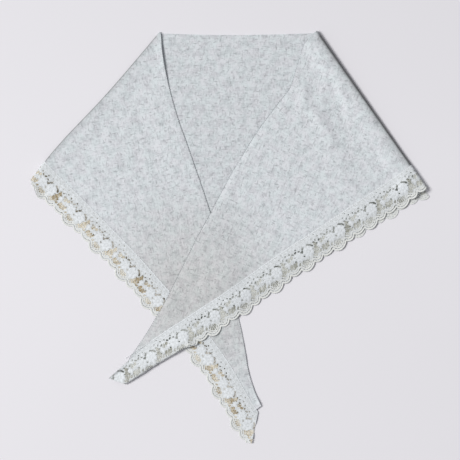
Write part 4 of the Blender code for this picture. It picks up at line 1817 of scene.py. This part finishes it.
@dataclass
class Net:
    """Fine net that fills openings of the repeat.

    Attributes:
        chart: The charted repeat.
        rows: The openings.
        spacing: Distance between threads, mm.
        width: Width of a thread, mm.
        slant: Slope of the threads from the rim, degrees.
        far: Reach of the threads from the middle, mm.
        overlap: How far a thread runs on under the lace, mm.
        count: Threads on each side of the middle.
    """

    # a thread's section: half widths across, and lift in mm
    PROFILE = ((-1, 0.2), (0, 0.06), (1, 0.2))
    MIDDLE, LOW = 20.0, 2.0  # how far in the net is centred, and where it begins, mm
    MARK = 0.5               # spacing of the marks along a thread, mm

    chart: LaceRepeat
    rows: Sequence[Bar | Arc]
    spacing: float
    width: float
    slant: float = 57.0
    far: float = 60.0
    overlap: float = 0.4
    count: int = 60

    def build(self) -> Tile:
        """Threads as flat ribbons with a thin wall.

        Returns:
            The net of one repeat.
        """
        parts = Parts()
        for sign in (-1, 1):
            turn = math.radians(self.slant * sign)
            run = np.array([math.cos(turn), math.sin(turn)])
            gap = self.chart.pitch * abs(run[1])
            pace = gap / round(gap / self.spacing)
            for k in range(-self.count, self.count + 1):
                base = quarter(run) * k * pace + (0, self.MIDDLE)
                line = base + np.arange(-self.far, self.far, self.MARK)[:, None] * run
                solid, _ = self.chart.relief(line)
                opening = self.chart.deepest(line, self.rows)
                shown = (opening > -self.overlap) & (solid < self.overlap)
                shown &= (np.abs(line[:, 0]) <= self.chart.pitch / 2) & (line[:, 1] > self.LOW)
                for first, last in self.runs(shown):
                    self.ribbon(parts, line[[*range(first, last - 1, 4), last]], quarter(run))
        return Tile(np.vstack(parts.points), parts.faces, np.zeros(parts.count))

    @staticmethod
    def runs(shown: Array) -> list[tuple[int, int]]:
        """First and last mark of each stretch that shows, if it is long enough."""
        change = np.flatnonzero(np.diff(np.concatenate([[0], shown.astype(int), [0]])))
        return [(int(a), int(b) - 1) for a, b in change.reshape(-1, 2) if b - a > 3]

    def ribbon(self, parts: Parts, line: Array, side: Array) -> None:
        """Add one thread.

        Args:
            parts: What it is added to.
            line: Its middle line.
            side: Direction across it.
        """
        last = 3 * (len(line) - 1)
        points = [(*(spot + sign * side * self.width / 2), lift) for spot in line
                  for sign, lift in self.PROFILE]
        faces = [(k + m, k + n, k + 3 + n, k + 3 + m) for k in range(0, last, 3)
                 for m, n in ring(3)]
        parts.add(np.array(points), [*faces, (2, 1, 0), (last, last + 1, last + 2)])


# ---------- lace strips
@dataclass
class LaceStrip:
    """One stretch of the edging.

    Attributes:
        name: Name of the piece.
        rim: Line through its scallop tips.
        sense: 1 where it runs as charted, -1 where it is mirrored.
        first: Place of its first large scallop along the rim.
        start: Where it begins along the rim.
        stop: Where it ends.
        trims: Cuts across its ends.
        place: Turns plan points and lifts into places.
        cling: The same, kept close to the cloth, for the part sewn to it.
        lean: How far the band is drawn in towards the cloth, above its scallops.
        skew: How far the upper part of the band is drawn along.
        pace: Length of a repeat as laid.
        curl: How far the scallop tips stand up.
        tuck: Width rolled under its edge, by the distance along the rim.
        face_up: Whether its relief faces up.
    """

    ROLL = 2.3              # radius that its edge is rolled round, mm
    ROOM = 2.2              # lift that makes room for the roll, in its radii
    REST = 26.0             # reach of that lift, mm
    FULL, LEAST = 6.0, 0.5  # tucked widths at which the roll is full, and begins, mm
    TIGHTEST = 0.05         # least radius of the roll, in such radii
    FLOOR = 0.02            # least height of the rolled edge, mm
    SKEWED = 19.0           # how far in the skew is full, mm
    # where the lean sets in and eases, and over what, mm
    DRAWN = (6.0, 9.0), (28.0, 14.0)
    EASED = 0.65        # how much of the lean is gone at the heading
    THINNED = 0.45      # how much thinner the lace is where it is sewn
    SUNK = 0.26         # how far its heading sinks into the knit, mm
    SEWN = 6.0, 5.0     # where this begins, in from the heading, and over what, mm
    CURLED = 10.0, 1.2  # how far in the curl reaches, mm, and its greatest share
    WELD = 0.00002      # how near points of two repeats are joined, m
    HELD = 2.0, 8.0     # where it lies close to the cloth, in from its raw edge, and over what
    SHARP = 55.0        # angle over which an edge stays sharp, degrees

    name: str
    rim: Rim
    sense: int
    first: float
    start: float
    stop: float
    trims: list[Trim]
    place: Lift
    cling: Optional[Lift] = None
    lean: float = 0.0
    skew: float = 0.0
    pace: float = 52.8
    curl: float = 0.0
    tuck: Optional[tuple[Sequence[float], Sequence[float]]] = None
    face_up: bool = True

    def middles(self) -> Array:
        """Places of the repeats that the strip needs."""
        first = math.floor((self.start - self.first) / self.pace - 0.5)
        last = math.ceil((self.stop - self.first) / self.pace + 0.5)
        return self.first + np.arange(first, last + 1) * self.pace

    def strip_of(self, points: Array, middle: float, pitch: float) -> Array:
        """Distances along and in of chart points of one repeat."""
        into = points[:, 1]
        along = middle + self.sense * points[:, 0] * self.pace / pitch
        along += self.skew * ramp(into / self.SKEWED)
        rise, fall = (eased(ramp((into - start) / reach)) for start, reach in self.DRAWN)
        return np.column_stack([along, into + self.lean * rise * (1 - self.EASED * fall)])

    def laid(self, strip: Array, lift: Array) -> Array:
        """Places of strip points, with the edge rolled under where it is tucked.

        Args:
            strip: Distances along and in.
            lift: Height of each point off the lace's underside.

        Returns:
            Places in plan millimetres.
        """
        along, into = strip.T
        if self.tuck is None:
            return self.settled(along, into, lift)
        width = np.interp(along, *self.tuck)
        ease = ramp(width / self.FULL)
        edge = width + self.ROLL * ease
        rolled = width > self.LEAST
        past = np.maximum(edge - into, 0) * rolled
        spot = self.settled(along, np.where(rolled, np.maximum(into, edge), into),
                            np.zeros(len(into)))
        radius = self.ROLL * np.maximum(ease, self.TIGHTEST)
        turn = np.minimum(past / radius, math.pi)
        back = np.maximum(past - math.pi * radius, 0)
        out = self.rim.point(along, into - 1.0) - self.rim.point(along, into)
        level = radius + lift
        spot[:, :2] += (level * np.sin(turn) - back)[:, None] * out
        rest = ramp((into - edge) / self.REST)
        spot[:, 2] += self.ROOM * self.ROLL * ease * eased(1 - rest)
        spot[:, 2] += level * np.cos(turn) - radius
        spot[:, 2] = np.maximum(spot[:, 2], self.FLOOR)
        return spot

    def settled(self, along: Array, into: Array, lift: Array) -> Array:
        """Places of strip points as laid, close to the cloth above its raw edge."""
        plan = self.rim.point(along, into)
        spot = self.place(plan, lift)
        if self.cling is None:
            return spot
        start, reach = self.HELD
        share = eased(ramp((into - CLOTH.overhang - start) / reach))[:, None]
        return spot + (self.cling(plan, lift) - spot) * share

    def build(self, meshes: Sequence[Tile], pitch: float, finishes: Sequence[Material]) -> Piece:
        """Copy the repeat along the strip, trim its ends and lay it down.

        Args:
            meshes: The repeat, and its nets.
            pitch: Length of the repeat.
            finishes: A material for each of them.

        Returns:
            The piece.
        """
        parts = Parts()
        slots = []
        flip = (self.sense * self.rim.side < 0) != (not self.face_up)
        for middle in self.middles():
            for slot, (points, faces, relief) in enumerate(meshes):
                strip = self.strip_of(points, middle, pitch)
                flat = np.column_stack([middle + self.sense * points[:, 0], points[:, 1]])
                parts.add(np.column_stack([self.rim.point(*strip.T), points[:, 2]]) * MM,
                          [face[::-1] for face in faces] if flip else faces, relief=relief,
                          along=strip[:, 0], into=strip[:, 1], flat=flat * MM)
                slots += [slot] * len(faces)
        piece = parts.piece(self.name, finishes)
        mesh = piece.data
        mesh.polygons.foreach_set("material_index", slots)
        weld(piece, self.WELD, self.trims)
        strip = np.column_stack([fetch(mesh.attributes[label].data, "value")
                                 for label in ("along", "into")])
        for label in ("along", "into"):
            mesh.attributes.remove(mesh.attributes[label])
        lift = fetch(mesh.vertices, "co", 3)[2::3] / MM
        start, reach = self.SEWN
        near = ramp((strip[:, 1] - CLOTH.band + start) / reach)
        lift = lift * (1 - self.THINNED * near) - self.SUNK * near * self.face_up
        reach, most = self.CURLED
        lift += self.curl * np.clip(1 - strip[:, 1] / reach, 0, most) ** 2
        mesh.vertices.foreach_set("co", in_frame(self.laid(strip, lift)).reshape(-1))
        mesh.update()
        return smoothed(piece, self.SHARP)


@dataclass
class Edging:
    """The whole length of lace: on both folded ends, and on under the back.

    Attributes:
        layout: Where the layers lie.
        chart: The charted repeat.
        wrap_share: Share of the half turn that the lace goes round.
    """

    # cut at the left corner, and a point that it keeps, along and in
    CORNER = (0.0, 8.6), (17.2, 0.0), (20.0, 30.0)
    KEPT = 0.6          # place of a point that the cuts at a tip keep, in rim lengths
    RUN_ON = 4.0, 20.0  # how far the front and back strips run on, mm
    OVER = 0.2          # how far stitches stand off the lace, mm

    layout: Layout
    chart: LaceRepeat = field(default_factory=LaceRepeat)
    wrap_share: float = 0.86

    def front_trims(self, side: Side) -> list[Trim]:
        """Cuts at the roll and at the point of a folded end, and one at the left corner.

        Args:
            side: Which end.

        Returns:
            The cuts.
        """
        rim, fold = self.layout.rims[side], self.layout.folds[side]
        trims = [Trim(fold.at(fold.length, self.wrap_share), fold.out)]
        tip = [np.array(p) for p in ENDS[side].tip]
        inner = rim.point(rim.length * self.KEPT, CLOTH.band)
        trims += [Trim.between(a, b, inner) for a, b in zip(tip, tip[1:])]
        if side is Side.LEFT:
            trims.append(Trim.between(*(rim.point(*spot) for spot in self.CORNER)))
        return trims

    def front(self, side: Side, sense: int, first: float, **drawn: float) -> LaceStrip:
        """Stretch on a folded end.

        Args:
            side: Which end.
            sense: 1 where it runs as charted, -1 where it is mirrored.
            first: Place of its first large scallop along the rim.
            drawn: How it is drawn out of line.

        Returns:
            The strip.
        """
        rim, fold, rows = self.layout.rims[side], self.layout.folds[side], ENDS[side].sections
        tuck = None
        if any(row.tuck > 0 for row in rows):
            tuck = (lengths(np.array([row[2:4] for row in rows])), [row.tuck for row in rows])

        def cling(plan: Array, lift: Array) -> Array:
            """Lay points just clear of the cloth's face."""
            return self.layout.cloth_lays[side].at(plan, lift + CLOTH.knit + CLOTH.gap)

        return LaceStrip(f"lace_{side.value}_front_edge", rim, sense, first,
                         -math.pi * float(fold.radius(fold.length)) - self.RUN_ON[0], rim.length,
                         self.front_trims(side), self.layout.lace_lays[side].at, cling,
                         tuck=tuck, **drawn)

    def back(self, side: Side, sense: int, first: float) -> LaceStrip:
        """Stretch under the back, from the fold to the mitre.

        Args:
            side: Which end.
            sense: 1 where it runs as charted, -1 where it is mirrored.
            first: Place of its first large scallop along the rim.

        Returns:
            The strip.
        """
        rim, fold = self.layout.back_rims[side], self.layout.folds[side]
        foot = fold.neck + fold.length * fold.along - CLOTH.gap * fold.out
        across = np.array([1.0 if side is Side.LEFT else -1.0, 0.0])

        def place(plan: Array, lift: Array) -> Array:
            """Lay the lace face down on the floor."""
            return np.column_stack([plan, CLOTH.lace - lift])

        return LaceStrip(f"lace_back_{side.value}_edge", rim, sense, first, -self.RUN_ON[1],
                         rim.length + self.RUN_ON[1],
                         [Trim(foot, fold.out), Trim(APEX - across * CLOTH.gap / 2, across)],
                         place, face_up=False)

    def heading_runs(self) -> list[Run]:
        """Rows of stitches that hold the lace to the folded ends.

        Returns:
            A run for each end.
        """
        runs = []
        for side, rim in self.layout.rims.items():

            def place(plan: Array, lift: Array, side: Side = side) -> Array:
                """Lay stitch points on the heading."""
                over = CLOTH.knit + CLOTH.gap + self.OVER
                return self.layout.cloth_lays[side].at(plan, lift + over)

            runs.append(Run(rim, into=CLOTH.band - 0.9, start=3.0, stop=rim.length - CLOTH.band,
                            slant=-8.0, place=place))
        return runs

    def build(self, finishes: dict[Side, Sequence[Material]]) -> dict[str, Piece]:
        """Model the four stretches.

        Args:
            finishes: Lace and net materials of each end.

        Returns:
            Each piece, by the name of the node that it stands for.
        """
        chart = self.chart
        fine, coarse = (TileMaker(chart, columns).build()
                        for columns in (chart.columns, chart.columns * 2 // 3))
        # the second net is dark thread in the eyelets and pin holes: painted shade for what shows
        # through them
        nets = [Net(chart, chart.OPENINGS, spacing=1.25, width=0.62).build(),
                Net(chart, (*chart.EYELETS, *chart.PINS), spacing=1.1, width=0.6).build()]
        strips = {
            "lace_left_front": (Side.LEFT, self.front(Side.LEFT, -1, 16.8, curl=0.8), fine),
            "lace_right_front": (Side.RIGHT, self.front(Side.RIGHT, 1, 37.0, lean=1.9, skew=-3.2,
                                                        pace=53.0, curl=0.9), fine),
            "lace_back_left": (Side.LEFT, self.back(Side.LEFT, 1, 28.5), coarse),
            "lace_back_right": (Side.RIGHT, self.back(Side.RIGHT, -1, 5.3), coarse),
        }
        return {node: strip.build([tile, *nets], chart.pitch, finishes[side])
                for node, (side, strip, tile) in strips.items()}


# ---------- studio
@dataclass
class Studio:
    """Floor, lights and camera.

    Attributes:
        view: Plan place that the camera looks straight down at, mm.
        view_width: Width that it sees on the floor, mm.
        height: Height of the camera, m.
    """

    view: tuple[float, float] = (-2.8, 11.9)
    view_width: float = 644.0
    height: float = 3.0

    def add(self, name: str, data: bpy.types.ID) -> Piece:
        """Object of a camera or a light, linked to the scene."""
        piece = bpy.data.objects.new(name, data)
        bpy.context.scene.collection.objects.link(piece)
        return piece

    def floor(self, finish: Material) -> None:
        """Floor just under the shawl."""
        bpy.ops.mesh.primitive_plane_add(size=8.0, location=(0, 0, -0.0002))
        floor = bpy.context.active_object
        floor.name = "floor"
        bpy.ops.object.transform_apply(location=True, rotation=False, scale=False)
        floor.data.materials.append(finish)

    def camera(self) -> None:
        """Camera straight above."""
        lens = bpy.data.cameras.new("camera")
        lens.sensor_fit = "HORIZONTAL"
        lens.angle = 2 * math.atan(self.view_width * MM / 2 / self.height)
        lens.clip_end = 50.0
        camera = self.add("camera", lens)
        camera.location = (*((np.array(self.view) - MIDDLE) * MM), self.height)
        bpy.context.scene.camera = camera

    def light(self, place: Sequence[float], size: float, power: float, colour: Colour) -> None:
        """Soft square light that faces the middle of the shawl.

        Args:
            place: Where it stands, m.
            size: Its width, m.
            power: Its power, W.
            colour: Its colour.
        """
        lamp = bpy.data.lights.new("key", "AREA")
        lamp.size, lamp.energy, lamp.color = size, power, colour
        piece = self.add("key", lamp)
        piece.location = place
        piece.rotation_euler = (-Vector(place)).to_track_quat("-Z", "Y").to_euler()

    def build(self, finish: Material) -> None:
        """Set the whole studio up, with a floor of a material.

        Args:
            finish: The floor's material.
        """
        self.floor(finish)
        self.camera()
        self.light((-5.6, 1.3, 7.4), 3.4, 826.0, (1.0, 0.985, 0.97))
        world = bpy.data.worlds.new("studio")
        world.use_nodes = True
        sky = world.node_tree.nodes["Background"]
        Wiring(world.node_tree).fill(sky, {"Color": (0.965, 0.965, 1.0), "Strength": 0.33})
        bpy.context.scene.world = world
        bpy.context.scene.view_settings.view_transform = "Standard"


# ---------- the shawl
def report(piece: Piece) -> None:
    """Log the size of a piece."""
    log.info("%s: %d faces", piece.name, len(piece.data.polygons))


def main() -> None:
    logging.basicConfig(level=logging.INFO, format="%(name)s: %(message)s")
    groups = Groups()
    layout = Layout()
    knit = KnitBody(layout)
    body = knit.build(KnitFinish("brushed_knit_inside").material(groups),
                      KnitFinish("brushed_knit_face", gain=1.045).material(groups))
    lace = LaceFinish("white_lace_thread").material(groups)
    # each end's second net finish is painted shade: dark thread in the eyelets and pin holes
    nets = {
        Side.LEFT: (NetFinish("tan_net", (0.80, 0.755, 0.63), (0.36, 0.28, 0.15)),
                    NetFinish("painted_shade_net_left", (0.60, 0.58, 0.53), (0.13, 0.11, 0.07), 0.6)),
        Side.RIGHT: (NetFinish("olive_net", (0.72, 0.735, 0.69), (0.35, 0.355, 0.30)),
                     NetFinish("painted_shade_net_right", (0.42, 0.44, 0.42), (0.08, 0.09, 0.08), 0.6)),
    }
    edging = Edging(layout)
    laces = edging.build({side: [lace, *(finish.material(groups) for finish in pair)]
                          for side, pair in nets.items()})
    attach(body, "root")
    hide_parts("back", "left_front", "right_front")
    report(body)
    for node, piece in laces.items():
        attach(piece, "root")
        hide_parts(node)
        report(piece)
    grey, white = (ThreadFinish(name, colour).material(groups) for name, colour in (
        ("grey_thread", (0.36, 0.38, 0.40)), ("white_thread", (0.90, 0.93, 0.96))))
    for piece in (Stitching().build("hem_stitches", knit.hem_runs(), grey),
                  Stitching(pitch=3.0, half=0.42).build("edging_stitches", edging.heading_runs(),
                                                        white)):
        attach(piece, "root")
        report(piece)
    list(laces.values())
    Studio().build(FloorFinish("pale_floor").material(groups))


if __name__ == "__main__":
    main()
